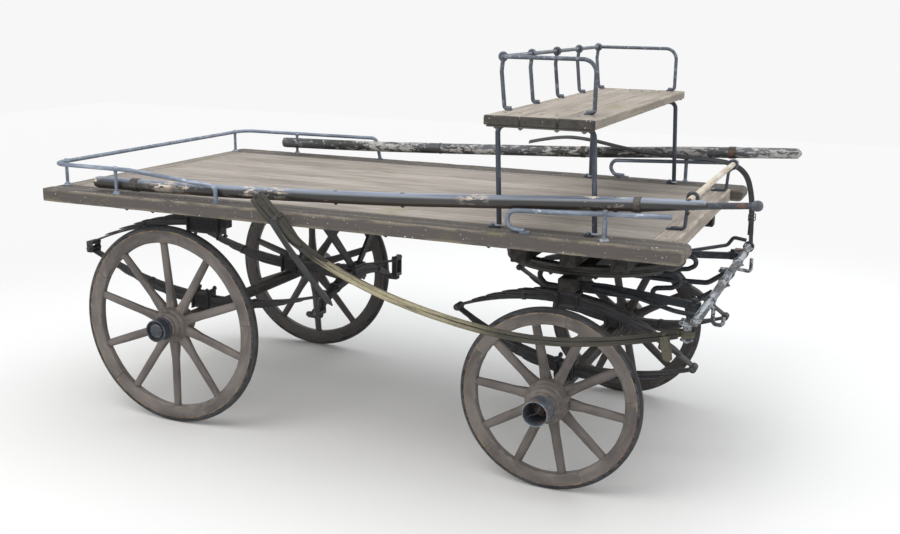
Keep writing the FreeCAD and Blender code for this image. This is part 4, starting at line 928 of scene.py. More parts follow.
def wheel(kind, side, sign):
    """Felloes, spokes and a turned nave, then the tyre and the hub's cap."""
    name = f"wheel_{kind}_{side}"
    low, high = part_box(f"{name}_tyre")
    wood_low, wood_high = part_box(f"{name}_wood")
    cap_low, cap_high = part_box(f"{name}_cap")
    centre = (low + high) / 2
    radius, outer = (high.z - low.z) / 2, (wood_high.z - wood_low.z) / 2
    half = (high.y - low.y) / 2
    inner = outer - RIM_DEPTH[kind]
    face = Y * sign
    reach = abs((cap_high.y if sign > 0 else cap_low.y) - centre.y)
    nose = abs((wood_high.y if sign > 0 else wood_low.y) - centre.y)
    tail = abs((wood_low.y if sign > 0 else wood_high.y) - centre.y)
    build = Build()
    felloe_ring(build, centre, face, outer, inner, half - 0.4 * MM)
    for k in range(SPOKES):
        spoke(build, centre, face, FIRST_SPOKE[kind] + 2 * math.pi * k / SPOKES, SPOKE_ROOT, inner + 3 * MM,
            SPOKE_LEAN[kind])
    belly, middle = NAVE_BELLY[kind]
    back, front = -tail * 1000, nose * 1000
    nave = mm((26, back, 0), (63, back, 0.2), (67, back + 3, 1), (67, back + 22, 0.6), (65, back + 24, 0),
        (67, back + 27, 0.4), (belly - 17, middle - 44, 0.2), (belly - 6, middle - 34, 0.2),
        (belly - 3, middle - 31, 0.0), (belly - 1, middle - 27, 0.9), (belly, middle - 10, 0.2),
        (belly, middle + 12, 0.3), (belly - 1.5, middle + 22, 0.9), (belly - 4, middle + 24, 0.0),
        (belly - 4.5, middle + 28, 0.7), (belly - 9, middle + 38, 0.2), (belly - 15, middle + 48, 0.4),
        (belly - 17.5, middle + 50, 0.0), (belly - 17, middle + 54, 0.9), (belly - 24, middle + 64, 0.2),
        (69, front - 19, 0.5), (66, front - 17, 0.0), (67, front - 13, 0.8), (67, front - 4, 0.6),
        (64, front, 0.8), (26, front, 0))
    turned(build, centre, face, nave, 56)
    build.piece(f"{name}_woodwork", name, [wheel_paint if sign < 0 else far_wheel_shaded_paint], "wheel_wood",
        [f"{name}_wood"], sharp=50)
    tyre(name, centre, face, outer, radius, half)
    make_cap = front_cap if kind == "front" else rear_cap
    make_cap(name, centre, face, nose * 1000, reach * 1000)


def closed_ring_faces(count, size):
    """Quads round a ring of equal sections that meets itself."""
    return [(k * size + j, k * size + (j + 1) % size, (k + 1) % count * size + (j + 1) % size,
        (k + 1) % count * size + j) for k in range(count) for j in range(size)]


def lathe_ring(build, centre, face, profile, count, slot=0):
    """A closed ring section turned about a wheel's axle: profile is (radius, out, wear)."""
    points, grain, wear = [], [], []
    for k in range(count):
        angle = 2 * math.pi * k / count
        for radius, out, w in profile:
            points.append(around(centre, radius, angle, face * out))
            grain.append(Vector((math.cos(angle) * radius, math.sin(angle) * radius, out)))
            wear.append(w)
    build.add(points, closed_ring_faces(count, len(profile)), grain, wear, slot=slot)


def tyre(name, centre, face, outer, radius, half):
    """An iron channel on the felloes with its lips turned up, and the rounded rubber in it."""
    build = Build()
    base, lip, wall = outer + 3.0 * MM, outer + 10 * MM, 3.0 * MM
    channel = mirrored([(outer, -half, 0.9), (outer + 5 * MM, -half, 0.5), (lip - 2 * MM, -half, 0.6),
        (lip, -half + 1.2 * MM, 1.0), (lip - 0.5 * MM, -half + wall, 0.8), (base, -half + wall + 1 * MM, 0.0)])
    lathe_ring(build, centre, face, channel, 128)
    edge = half - wall - 0.6 * MM
    tread = mirrored([(base + 0.5 * MM, -edge, 0.0), (lip - 1 * MM, -edge, 0.0),
        (lip + 2 * MM, -edge + 0.4 * MM, 0.0), (radius - 6 * MM, -edge + 2.5 * MM, 0.0),
        (radius - 2.2 * MM, -edge + 6 * MM, 0.0), (radius - 0.4 * MM, -edge + 11 * MM, 0.0)],
        (radius, 0.0, 0.0))
    lathe_ring(build, centre, face, tread, 128, 1)
    build.piece(f"{name}_rim_and_tyre", name, [rim_iron, rubber], "tyre_rubber", [f"{name}_tyre"], sharp=45)


def front_cap(name, centre, face, root, end):
    """An open hub cup with a rolled rim and a darker lining inside; root and end are in millimetres."""
    build = Build()
    shell = mm((53.6, end - 8, 0.1), (54.0, end - 1, 0.7), (55.6, end, 1.0), (57.6, end - 1.6, 1.0),
        (57.2, end - 6, 0.3), (56.6, root + 24, 0.1), (57.2, root + 14, 0.2), (58, root + 4, 0.6),
        (58, root, 0.2), (50, root, 0.0))
    lining = mm((37, root + 2, 0), (37, root + 8, 0), (51.5, root + 9, 0), (53.0, root + 13, 0),
        (53.7, end - 7.8, 0.2), (55.0, end - 8.5, 0), (55.0, root + 6, 0), (50, root + 2, 0))
    lathe_ring(build, centre, face, shell, 56)
    lathe_ring(build, centre, face, lining, 56, 1)
    wire = [centre + face * (end - 26) * MM + Vector((x, 0, z)) * MM for x,
        z in ((-44, -28), (-20, -14), (-2, -6), (10, 14), (16, 40))]
    tube(build, smooth_path(wire, 0.004), 1.1 * MM, 6, face)
    build.piece(f"{name}_hub_cup", name, [cap_iron, cap_dark], "hub_iron", [f"{name}_cap"])


def rear_cap(name, centre, face, root, tip):
    """A closed cap: a stepped rim, a sunk face and a raised boss; root and tip are in millimetres."""
    build = Build()
    cap = mm((37, root, 0), (58, root, 0.2), (58, root + 10, 0.4), (55.5, root + 13, 0), (55.5, tip - 14, 0.1),
        (56.5, tip - 10, 0.5), (57.5, tip - 3, 0.6), (56.5, tip, 1.0), (52.5, tip, 0.8), (51, tip - 3, 0.2),
        (50, tip - 16, 0), (38, tip - 17, 0), (36, tip - 12, 0.2), (35, tip - 8, 0.9), (33, tip - 6.5, 1.0),
        (24, tip - 6, 0.2), (10, tip - 5.6, 0.2), (0.5, tip - 5.4, 0.1))
    turned(build, centre, face, cap, 56)
    build.piece(f"{name}_hub_cap", name, [rear_cap_iron], "hub_iron", [f"{name}_cap"])


for kind in ("front", "rear"):
    for side, sign in SIDES:
        wheel(kind, side, sign)


# ---------------------------------------------------------------- axles


def block(build, low, high, soft=2 * MM, **more):
    """A small forged or sawn block with rounded edges."""
    size = Vector(high) - Vector(low)
    axis = "XYZ"[max(range(3), key=lambda n: size[n])]
    board(build, low, high, axis, soft=min(soft, min(size) * 0.3), rows=1, rough=0.25 * MM, chips=0.4 * MM,
        step=max(0.03, max(size) / 6), end=min(2 * MM, max(size) * 0.1), **more)


def axle(kind):
    """Square beam drawn down to round arms, with collars, grease rims and castle nuts."""
    low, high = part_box(f"{kind}_axle")
    x = (low.x + high.x) / 2
    wheel_low, wheel_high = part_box(f"wheel_{kind}_near_wood")
    z = (wheel_low.z + wheel_high.z) / 2
    inside, outside = -wheel_high.y - 4 * MM, -wheel_low.y + 2 * MM
    beam, arm = 25 * MM, 23.9 * MM
    build = Build()
    board(build, (x - beam, -inside + 0.030, z - beam), (x + beam, inside - 0.030, z + beam), "Y", soft=5 * MM,
        rough=0.6 * MM, step=0.05)
    for sign in (-1, 1):
        face = Y * sign
        at = Vector((x, 0, z)) + face * (inside - 0.036)
        tip = Vector((x, 0, z)) + face * outside
        turned(build, at, face, mm((28, 0, 0), (36, 3, 0.8), (36, 13, 0.3), (31, 16, 0.0), (33, 20, 0.5),
            (36, 26, 0.8), (36, 34, 0.5), (24, 36, 0.0)), 32)
        turned(build, at + face * 0.036, face, [(arm, -0.004, 0), (arm, outside - inside + 0.002, 0)], 24)
        turned(build, tip, face, mm((33, 0.3, 0.2), (33, 3, 0.6), (31, 4, 0.1)), 32, slot=1)
        turned(build, tip + face * 4 * MM, face, mm((30, 0, 0.1), (30, 13, 0.4), (27, 15.5, 0.9),
            (15, 15.8, 0.2)), 6, slot=1, spin=0.4)
        turned(build, tip + face * 18 * MM, face, mm((14, 0, 0.1), (14, 1.2, 0.4), (12, 1.9, 0.9)), 20, slot=1)
    build.piece(f"{kind}_axle_forging", f"{kind}_axle", [axle_iron, cap_dark], "axle_iron", [f"{kind}_axle"])


for kind in ("front", "rear"):
    axle(kind)

# ---------------------------------------------------------------- deck

PLANKS = 9
SILL_BOLTS = (-1.215, -1.058, -0.845, -0.622, 0.210, 0.700, 1.120)
SILL_NAILS = 16
BEAM_BOLTS = (-1.50, -1.0, -0.5, 0.0, 0.5, 1.35)


def deck():
    """Planks of uneven tone, with open joints and nail heads."""
    low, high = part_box("deck_boards")
    build = Build()
    pitch = (high.y - low.y) / PLANKS
    for k in range(PLANKS):
        gap = chance.uniform(1.2, 2.6) * MM
        drop = chance.uniform(0.0, 1.6) * MM
        left, right = low.y + pitch * k + gap / 2, low.y + pitch * (k + 1) - gap / 2
        board(build, (low.x + 1 * MM, left, low.z), (high.x - 1 * MM, right, high.z - drop), "X", soft=2.4 * MM,
            step=0.045, rough=1.0 * MM, rows=9, chips=2.6 * MM, tint=chance.uniform(0.0, 0.9))
        for bearer in ("rear", "middle", "front"):
            box_low, box_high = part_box(f"cross_bearer_{bearer}")
            for place in (0.2, 0.8):
                x = (box_low.x + box_high.x) / 2 + chance.uniform(-0.015, 0.015)
                dome(build, (x, left + (right - left) * place, high.z - drop - 1.6 * MM), Z, 4.5 * MM, 1.5 * MM,
                     slot=1, count=10)
    build.piece("deck_planks", "bed", [deck_wood, dark_bolts], "deck_wood", ["deck_boards"])


def sill(side, sign):
    """A thick side board: a lengthwise joint on top, a rounded nose, bolts under it and nails on its face."""
    low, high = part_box(f"sill_{side}")
    under = high.z - 65 * MM
    build = Build()
    edge, inner = (low.y, high.y) if sign < 0 else (high.y, low.y)
    seam = edge - sign * 74 * MM
    nose = 26 * MM

    def plank(y0, y1, drop, tint):
        wide, thick, count = abs(y1 - y0), high.z - under, 64
        seed = Vector((chance.uniform(0, 50), 3, 7))
        stops = [low.x + (high.x - low.x) * k / count for k in range(count)]
        stops = [x for x in stops if x < high.x - nose - 5 * MM] + [high.x - nose]
        stops += [high.x - nose * (1 - math.sin(a)) for a in (0.5, 0.8, 1.1, 1.35, 1.57)]
        path = [Vector((x, (y0 + y1) / 2, (high.z + under) / 2)) for x in stops]

        def section(k, share):
            tip = max(0.0, path[k].x - (high.x - nose)) / nose
            shrink = nose * (1 - math.sqrt(max(0.0, 1 - tip * tip)))
            ring = []
            for a, b, w in slab(wide, thick, 3.5 * MM, 5, 3):
                at = seed + Vector((path[k].x * 8, a * 30, b * 30))
                dip = 0.9 * MM * noise.noise(at) + w * 3.2 * MM * max(0.0, noise.noise(at * 2.3) - 0.1)
                b = math.copysign(max(0.0, abs(b) - shrink - abs(dip)), b)
                if b > 0:
                    b -= drop
                ring.append((a * (1 - abs(dip) / wide), b, max(w, 0.6 * (tip > 0.5))))
            return ring

        sweep(build, path, section, Y, tint=tint)

    plank(edge, seam + sign * 0.4 * MM, 0.0, 0.1)
    plank(seam - sign * 1.4 * MM, inner, 2.2 * MM, 0.45)
    y = edge - sign * 50 * MM
    for x in SILL_BOLTS:
        turned(build, (x, y, under + 1 * MM), -Z, mm((19, 0, 0), (19, 3.2, 0.7)), 20, slot=1)
        nut(build, (x, y, under - 2.2 * MM), -Z, 13 * MM, 9 * MM, slot=1)
    for k in range(SILL_NAILS):
        x = low.x + 0.14 + k * 0.2 + chance.uniform(-0.03, 0.03)
        dome(build, (x, edge - sign * 0.2 * MM, high.z - chance.uniform(20, 44) * MM), Y * sign, 3.6 * MM,
            0.2 * MM, slot=2, count=10)
        dome(build, (x + 0.07, edge - sign * 112 * MM, high.z - 2.8 * MM), Z, 5 * MM, 1.3 * MM, slot=1,
            count=10)
    build.piece(f"sill_{side}_timber", "bed", [sill_wood, dark_bolts, nut_iron], "sill_wood", [f"sill_{side}"])


def end_boards():
    """The boards across both ends of the deck, bolted down."""
    for name, wood, slot in (("front_board", front_wood, "front_board_wood"),
                             ("rear_board", rear_wood, "sill_wood")):
        low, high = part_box(name)
        build = Build()
        board(build, low + Vector((1, 1, 0)) * MM, high - Vector((1, 1, 0)) * MM, "Y", soft=3.5 * MM,
            step=0.045, rough=1.2 * MM, rows=7, chips=2.4 * MM)
        for k in range(7):
            y = low.y + 0.09 + k * (high.y - low.y - 0.18) / 6
            dome(build, ((low.x + high.x) / 2 + chance.uniform(-0.02, 0.02), y, high.z - 1.8 * MM), Z, 7 * MM,
                1.8 * MM, slot=1)
        build.piece(f"{name}_timber", "bed", [wood, dark_bolts], slot, [name])


def under_frame():
    """Bearers and chassis beams, with bolt heads in the beams."""
    for place in ("rear", "middle", "front"):
        name = f"cross_bearer_{place}"
        low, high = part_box(name)
        build = Build()
        board(build, low, high, "Y", soft=6 * MM, rough=0.8 * MM, rows=2)
        build.piece(f"{name}_timber", "bed", [frame_wood], "frame_wood", [name])
    for side in ("near", "far"):
        name = f"chassis_beam_{side}"
        low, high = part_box(name)
        build = Build()
        board(build, low, high, "X", soft=7 * MM, rough=0.8 * MM, rows=2, tint=0.2)
        for x in BEAM_BOLTS:
            for face in (-1, 1):
                y = low.y if face < 0 else high.y
                dome(build, (x, y - face * 1 * MM, (low.z + high.z) / 2), Y * face, 12 * MM, 6 * MM, slot=1)
        build.piece(f"{name}_timber", "bed", [frame_wood, dark_bolts], "frame_wood", [name])


deck()
for side, sign in SIDES:
    sill(side, sign)
end_boards()
under_frame()

# ---------------------------------------------------------------- seat


def seat():
    """Three planks with painted, battered ends, on iron straps with nuts beneath."""
    for k, place in enumerate(("rear", "middle", "front")):
        low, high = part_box(f"seat_board_{place}")
        build = Build()
        board(build, low + X * 0.6 * MM, high - X * 0.6 * MM, "Y", soft=4.5 * MM, step=0.03, rough=0.9 * MM,
            rows=7, chips=3.2 * MM, tint=0.25 * k, inset=0.2 * MM, end=5 * MM)
        for x in (low.x + 0.045, high.x - 0.045):
            for y in (low.y + 0.145, high.y - 0.145):
                dome(build, (x, y, high.z - 1.2 * MM), Z, 8 * MM, 2.4 * MM, slot=1)
        piece = build.piece(f"seat_plank_{place}", "bed", [seat_wood, dark_bolts, seat_end_wood], "seat_wood",
            [f"seat_board_{place}"])
        for face in piece.data.polygons:
            if face.material_index == 0 and abs(face.center.y) > high.y - 3 * MM:
                face.material_index = 2
    board_low, board_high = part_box("seat_board_middle")
    rear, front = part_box("seat_board_rear")[0].x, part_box("seat_board_front")[1].x
    for side, sign in SIDES:
        build = Build()
        edge = board_low.y if sign < 0 else board_high.y
        inner, outer = sorted((edge - sign * 4 * MM, edge - sign * 44 * MM))
        block(build, (rear + 0.012, inner, board_low.z - 7 * MM),
            (front - 0.012, outer, board_low.z - 0.4 * MM), soft=1.5 * MM)
        for x in (rear + 0.05, rear + 0.155, rear + 0.31, front - 0.05):
            nut(build, (x, (inner + outer) / 2, board_low.z - 6.6 * MM), -Z, 11 * MM, 7 * MM, slot=1)
        build.piece(f"seat_strap_{side}", "bed", [iron_strip, nut_iron], "rail_iron")


seat()


# ---------------------------------------------------------------- shafts

NEAR_SHAFT_Y, FAR_SHAFT_Y = -0.822, 0.852


def nearest(path, x):
    return min(range(len(path)), key=lambda n: abs(path[n].x - x))


def band(build, path, x, wide, under, over, slot):
    """An iron band round a shaft."""
    k = nearest(path, x)
    heading = (path[k + 1] - path[k - 1]).normalized()
    lip = 1.5 * MM
    turned(build, path[k] - heading * wide / 2, heading, [(under, 0, 0), (over, lip, 0.8),
        (over, wide - lip, 0.8), (under, wide, 0)], 24, slot)


def on_deck(y, deck_top, *spots):
    """Points of a shaft's route: x, how far off the shaft's own y, and the height above the deck."""
    return [(x, y + aside, deck_top + height) for x, aside, height in spots]


def near_shaft():
    """The near shaft: paint over ash, an iron let in under its front end, bands, bolts and a hook."""
    low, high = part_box("shaft_near")
    y, deck_top = NEAR_SHAFT_Y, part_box("deck_boards")[1].z
    path = smooth_path(on_deck(y, deck_top, (-1.42, 0.006, 0.042), (-1.10, 0.006, 0.045), (-0.69, 0.006, 0.052),
        (-0.20, 0.003, 0.069), (0.28, 0, 0.090), (0.75, 0, 0.119), (1.18, 0, 0.146), (1.60, 0, 0.168)), 0.018)
    build = Build()
    seed = Vector((4, 8, 1))

    def section(k, share):
        x = path[k].x
        taper = max(0.0, (x - 1.30) / 0.30)
        size = 30 * MM * (1 - 0.16 * taper) * (0.86 if k in (0, len(path) - 1) else 1)
        ring = []
        for j in range(20):
            turn = 2 * math.pi * j / 20
            lump = 1 + 0.018 * noise.noise(seed + Vector((x * 3, math.cos(turn), math.sin(turn))))
            a, b = math.cos(turn) * size * lump, math.sin(turn) * size * lump
            ring.append((a, max(b, taper * 26 * MM - size) if b < 0 else b, 0.0))
        return ring

    def peel(far, a, b):
        x = low.x + far
        spots = max(bump_share(x, -1.12, -0.92, 0.05), bump_share(x, -0.95, -0.72, 0.08),
            bump_share(x, -0.66, -0.28, 0.10), 0.75 * bump_share(x, 0.55, 0.70, 0.05),
            0.9 * bump_share(x, 1.08, 1.30, 0.06), bump_share(x, -1.43, -1.38, 0.02))
        return spots * (1.0 if b > 0.002 else 0.35)

    sweep(build, path, section, Y, tint=peel)
    iron = smooth_path(on_deck(y, deck_top, (1.30, 0, 0.136), (1.45, 0, 0.154), (1.60, 0, 0.171),
        (1.70, 0, 0.180), (high.x - 0.022, 0, 0.188)), 0.015)
    tube(build, iron, lambda share: (15.5 - 2.5 * share) * MM, 14, Y, 1)
    turned(build, Vector((high.x - 0.044, y, deck_top + 0.1855)), X + Z * 0.09,
        mm((12, 0, 0.2), (17, 5, 0.6), (21, 14, 0.4), (22, 23, 0.2), (20, 33, 0.5), (14, 40, 0.8),
        (5, 43.4, 0.9)), 20, slot=1)
    for x, wide in ((-1.177, 0.045), (1.335, 0.030)):
        band(build, path, x, wide, 30.2 * MM, 32.6 * MM, 2)
    for x in (1.235, 1.52, 0.28, -0.06):
        at = path[nearest(path, x)]
        dome(build, at + Z * 26.5 * MM, Z, 12 * MM, 6 * MM, slot=3)
        nut(build, at - Z * 24 * MM, -Z, 11 * MM, 8 * MM, slot=2)
    hook = smooth_path(on_deck(y, deck_top, (-0.525, -0.010, 0.052), (-0.478, -0.030, 0.070),
        (-0.440, -0.046, 0.064), (-0.430, -0.055, 0.062), (-0.427, -0.057, 0.080)), 0.006)
    tube(build, hook, lambda share: (8.5 - 2.5 * share) * MM, 12, Y, 3)
    turned(build, hook[0] + Vector((-6, 2, 4)) * MM, -Y, mm((17, 0, 0), (17, 12, 0.7), (13, 15, 0.9)), 18,
        slot=2)
    build.piece("shaft_near_timber", "bed", [shaft_near_paint, knob_iron, dark_bolts, nut_iron], "shaft_wood",
        ["shaft_near"])


def far_shaft():
    """The far shaft: crazed paint, a square-sawn rear end and bands, rounded in front."""
    path = smooth_path(on_deck(FAR_SHAFT_Y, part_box("deck_boards")[1].z, (-1.318, -0.052, 0.074),
        (-1.0, -0.046, 0.079), (-0.672, -0.040, 0.086), (-0.25, -0.027, 0.099), (0.135, -0.016, 0.113),
        (0.733, 0, 0.136), (1.286, 0, 0.170), (1.806, 0, 0.196)), 0.018)
    build = Build()
    seed = Vector((9, 2, 5))

    def section(k, share):
        x = path[k].x
        size = 31 * MM * (1 - 0.10 * max(0.0, (x - 1.2) / 0.6))
        left = path[-1].x - x
        if left < 24 * MM:
            size *= math.sqrt(max(0.08, 1 - ((24 * MM - left) / (25 * MM)) ** 2))
        if k == 0:
            size *= 0.94
        return [(math.cos(t) * size * (1 + 0.02 * noise.noise(seed + Vector((x * 5, math.cos(t),
            math.sin(t))))), math.sin(t) * size, 0.0) for t in [2 * math.pi * j / 20 for j in range(20)]]

    sweep(build, path, section, Y)
    for x, wide in ((-0.25, 0.012), (0.62, 0.03), (1.45, 0.04)):
        band(build, path, x, wide, 30 * MM, 32.8 * MM, 1)
    build.piece("shaft_far_timber", "bed", [shaft_far_paint, dark_bolts], "shaft_wood", ["shaft_far"])


near_shaft()
far_shaft()

# ---------------------------------------------------------------- leaf springs

LEAF, LEAVES, SPRING_WIDE = 9 * MM, 6, 50 * MM
SPRING_Y = 0.450
FRONT_X, REAR_X = 0.948, -1.072
BEAM_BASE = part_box("chassis_beam_near")[0].z


def leaf_end(share, long):
    """How a leaf narrows and thins towards its end; share runs along the whole leaf."""
    left = min(share, 1 - share) * long
    return min(1.0, 0.62 + 0.38 * left / 0.045), min(1.0, 0.35 + 0.65 * left / 0.030)


def leaf_pack(build, matrix, half, sag, step, one_sided=False):
    """A bow of leaves, crown at the origin and ends up; shorter, tapered leaves lie outside."""
    radius = (half ** 2 + sag ** 2) / (2 * sag)
    span = math.asin(half / radius)
    side = (matrix.to_3x3() @ Y).normalized()
    for k in range(LEAVES):
        reach = span * (1 - step * k)
        low = -span * 0.12 if one_sided else -reach
        middle = radius + (k + 0.5) * LEAF
        steps = 26
        path = []
        for n in range(steps + 1):
            angle = low + (reach - low) * n / steps
            path.append(matrix @ Vector((middle * math.sin(angle), 0, radius - middle * math.cos(angle))))
        long = (reach - low) * middle
        tone = chance.uniform(0, 0.3)
        slip = chance.uniform(-0.6, 0.6) * MM
        path = [p + side * slip for p in path]

        def section(n, share):
            wide, thin = (1.0, 1.0) if k == 0 else leaf_end(share, long)
            if one_sided and share < 0.5:
                wide, thin = 1.0, 1.0
            ring = slab(SPRING_WIDE * wide, (LEAF - 0.7 * MM) * thin, 1.8 * MM * thin, 1)
            return [(a, b, w * 0.8) for a, b, w in ring]

        sweep(build, path, section, side, tint=tone)


def clip(build, matrix, half, sag, share, leaves):
    """A band bent round the leaves, with its little bolt."""
    radius = (half ** 2 + sag ** 2) / (2 * sag)
    angle = math.asin(half / radius) * share
    middle = radius + leaves * LEAF / 2
    at = matrix @ Vector((middle * math.sin(angle), 0, radius - middle * math.cos(angle)))
    ahead = (matrix.to_3x3() @ Vector((math.cos(angle), 0, math.sin(angle)))).normalized()
    side = (matrix.to_3x3() @ Y).normalized()
    up = ahead.cross(side).normalized()
    w, h = SPRING_WIDE / 2 + 2.5 * MM, leaves * LEAF / 2 + 3 * MM
    loop = [at + side * w * max(-1, min(1, 1.25 * math.cos(t))) + up * h * max(-1, min(1, 1.25 * math.sin(t)))
            for t in [2 * math.pi * n / 24 for n in range(25)]]
    sweep(build, loop, lambda n, s: slab(18 * MM, 3.4 * MM, 1 * MM), ahead)
    nut(build, at + side * w, side, 8 * MM, 6 * MM, 6)
    dome(build, at - side * w, -side, 8 * MM, 5 * MM)


def spring_eye(build, at, side, radius, wide, begin):
    """The main leaf's end rolled round its bolt, with the bolt's head and nut."""
    ahead = side.orthogonal().normalized()
    up = side.cross(ahead)
    roll = []
    for n in range(34):
        angle = begin + 2 * math.pi * 1.15 * n / 33
        size = radius - 3.5 * MM - 5.5 * MM * n / 33
        roll.append(at + ahead * size * math.cos(angle) + up * size * math.sin(angle))
    sweep(build, roll, lambda n, s: [(a, b, w * 0.8) for a, b, w in slab(wide, 7 * MM, 1.6 * MM, 1)], side)
    for sign in (-1, 1):
        base = at + side * sign * wide / 2
        turned(build, base - side * sign * 1 * MM, side * sign, [(radius * 0.80, 0, 0.3),
            (radius * 0.80, 3.5 * MM, 0.8), (radius * 0.72, 4.5 * MM, 0.4)], 20)
        nut(build, base + side * sign * 3.4 * MM, side * sign, radius * 0.66, 8.5 * MM, 6, stud=sign > 0)


def spring_seat(build, x, y, low, high, half, stud_low, stud_high):
    """The block on a pack, two U-bolts round it, their plates and nuts."""
    wide = SPRING_WIDE / 2 + 4 * MM
    block(build, (x - half, y - wide, low), (x + half, y + wide, high), soft=4 * MM)
    for dx in (-half + 14 * MM, half - 14 * MM):
        for dy in (-wide - 5 * MM, wide + 5 * MM):
            stud = [Vector((x + dx, y + dy, z)) for z in (stud_low, (stud_low + stud_high) / 2, stud_high)]
            tube(build, stud, 7 * MM, 12, Y)
            nut(build, (x + dx, y + dy, stud_high - 2 * MM), Z, 12 * MM, 9 * MM)
            nut(build, (x + dx, y + dy, stud_low + 1 * MM), -Z, 10 * MM, 3 * MM, stud=False)
        block(build, (x + dx - 9 * MM, y - wide - 15 * MM, stud_high - 10 * MM),
            (x + dx + 9 * MM, y + wide + 15 * MM, stud_high - 1.5 * MM))


def tilted(degrees, place):
    """A frame at a place, its front end lowered."""
    return Matrix.Translation(place) @ Matrix.Rotation(math.radians(degrees), 4, "Y")


def elliptic_spring(side, sign):
    """Two bows joined at their eyes, tilted down to the front, clamped to the axle and the bolster."""
    low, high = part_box(f"elliptic_spring_{side}")
    axle_top = low.z
    y = SPRING_Y * sign
    half, lower_sag, upper_sag = 0.570, 0.130, 0.150
    place = tilted(7.5, (FRONT_X + 0.020, y, 0.655))
    build = Build()
    lower = place @ Matrix.Translation((0, 0, -lower_sag))
    upper = place @ Matrix.Translation((0, 0, upper_sag)) @ Matrix.Rotation(math.pi, 4, "X")
    leaf_pack(build, lower, half, lower_sag, 0.13)
    leaf_pack(build, upper, half, upper_sag, 0.13)
    for matrix, sag in ((lower, lower_sag), (upper, upper_sag)):
        for share in (-0.42, 0.42):
            clip(build, matrix, half, sag, share, 4.6)
    for end in (-1, 1):
        spring_eye(build, place @ Vector((half * end, 0, 0)), Y, 20 * MM, 54 * MM, begin=math.pi * (end > 0))
    spring_seat(build, FRONT_X, y, axle_top, 0.532, half=0.052, stud_low=axle_top, stud_high=0.546)
    spring_seat(build, FRONT_X, y, 0.798, high.z - 2 * MM, half=0.060, stud_low=0.786,
                stud_high=high.z - 8 * MM)
    piece = build.piece(f"elliptic_spring_{side}_leaves", "front_axle", [spring_iron], "spring_iron",
        [f"elliptic_spring_{side}"])
    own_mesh(piece)


def side_spring(side, sign):
    """A lower pack under the rear of the bed, clamped to the axle, with an eye at each end."""
    axle_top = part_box(f"side_spring_{side}")[0].z
    y = SPRING_Y * sign
    half, sag = 0.715, 0.125
    place = tilted(4.0, (REAR_X - 0.005, y, 0.740))
    build = Build()
    pack = place @ Matrix.Translation((0, 0, -sag))
    leaf_pack(build, pack, half, sag, 0.14)
    for share in (-0.45, 0.45):
        clip(build, pack, half, sag, share, 4.2)
    for end in (-1, 1):
        spring_eye(build, place @ Vector((0.719 * end, 0, 0.006)), Y, 18 * MM, 49 * MM,
            begin=math.pi * (end > 0))
    spring_seat(build, REAR_X, y, axle_top, 0.632, half=0.062, stud_low=axle_top, stud_high=0.646)
    piece = build.piece(f"side_spring_{side}_leaves", "rear_axle", [spring_iron], "spring_iron",
        [f"side_spring_{side}"])
    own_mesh(piece)


def side_spring_end(sign, end):
    """Where a side spring's eye is at rest."""
    return tilted(4.0, (REAR_X - 0.005, SPRING_Y * sign, 0.740)) @ Vector((0.719 * end, 0, 0.006))


def quarter_spring(side, sign):
    """The upper spring: clamped under the chassis beam, sweeping back and down to a lug on the rear eye."""
    y = SPRING_Y * sign
    eye = side_spring_end(sign, -1)
    lug = eye.z + 0.032
    crown = Vector((REAR_X + 0.080, y, BEAM_BASE - 0.056))
    build = Build()
    matrix = Matrix.Translation(crown) @ Matrix.Rotation(math.pi, 4, "Y")
    half, sag = crown.x - eye.x, crown.z - lug
    leaf_pack(build, matrix, half, sag, 0.13, one_sided=True)
    clip(build, matrix, half, sag, 0.52, 4.0)
    outer = SPRING_WIDE / 2 + 12 * MM
    for a, b in ((-outer, -SPRING_WIDE / 2 - 1 * MM), (SPRING_WIDE / 2 + 1 * MM, outer)):
        block(build, (eye.x - 19 * MM, y + a, eye.z - 20 * MM), (eye.x + 19 * MM, y + b, lug + 8 * MM),
            soft=3 * MM)
    block(build, (eye.x - 19 * MM, y - outer, lug - 5 * MM), (eye.x + 22 * MM, y + outer, lug + 12 * MM),
        soft=4 * MM)
    for face in (-1, 1):
        nut(build, (eye.x, y + face * outer, eye.z), Y * face, 15 * MM, 9 * MM, 6)
    spring_seat(build, REAR_X + 0.035, y, BEAM_BASE - 0.096, BEAM_BASE - 1 * MM, 0.108, BEAM_BASE - 0.110,
        BEAM_BASE - 2 * MM)
    for dx in (-0.094, 0.094):
        for dy in (-0.034, 0.034):
            nut(build, (REAR_X + 0.035 + dx, y + dy, BEAM_BASE - 0.108), -Z, 13 * MM, 10 * MM)
    build.piece(f"quarter_spring_{side}_leaves", "bed", [spring_iron], "spring_iron",
        [f"quarter_spring_{side}"])


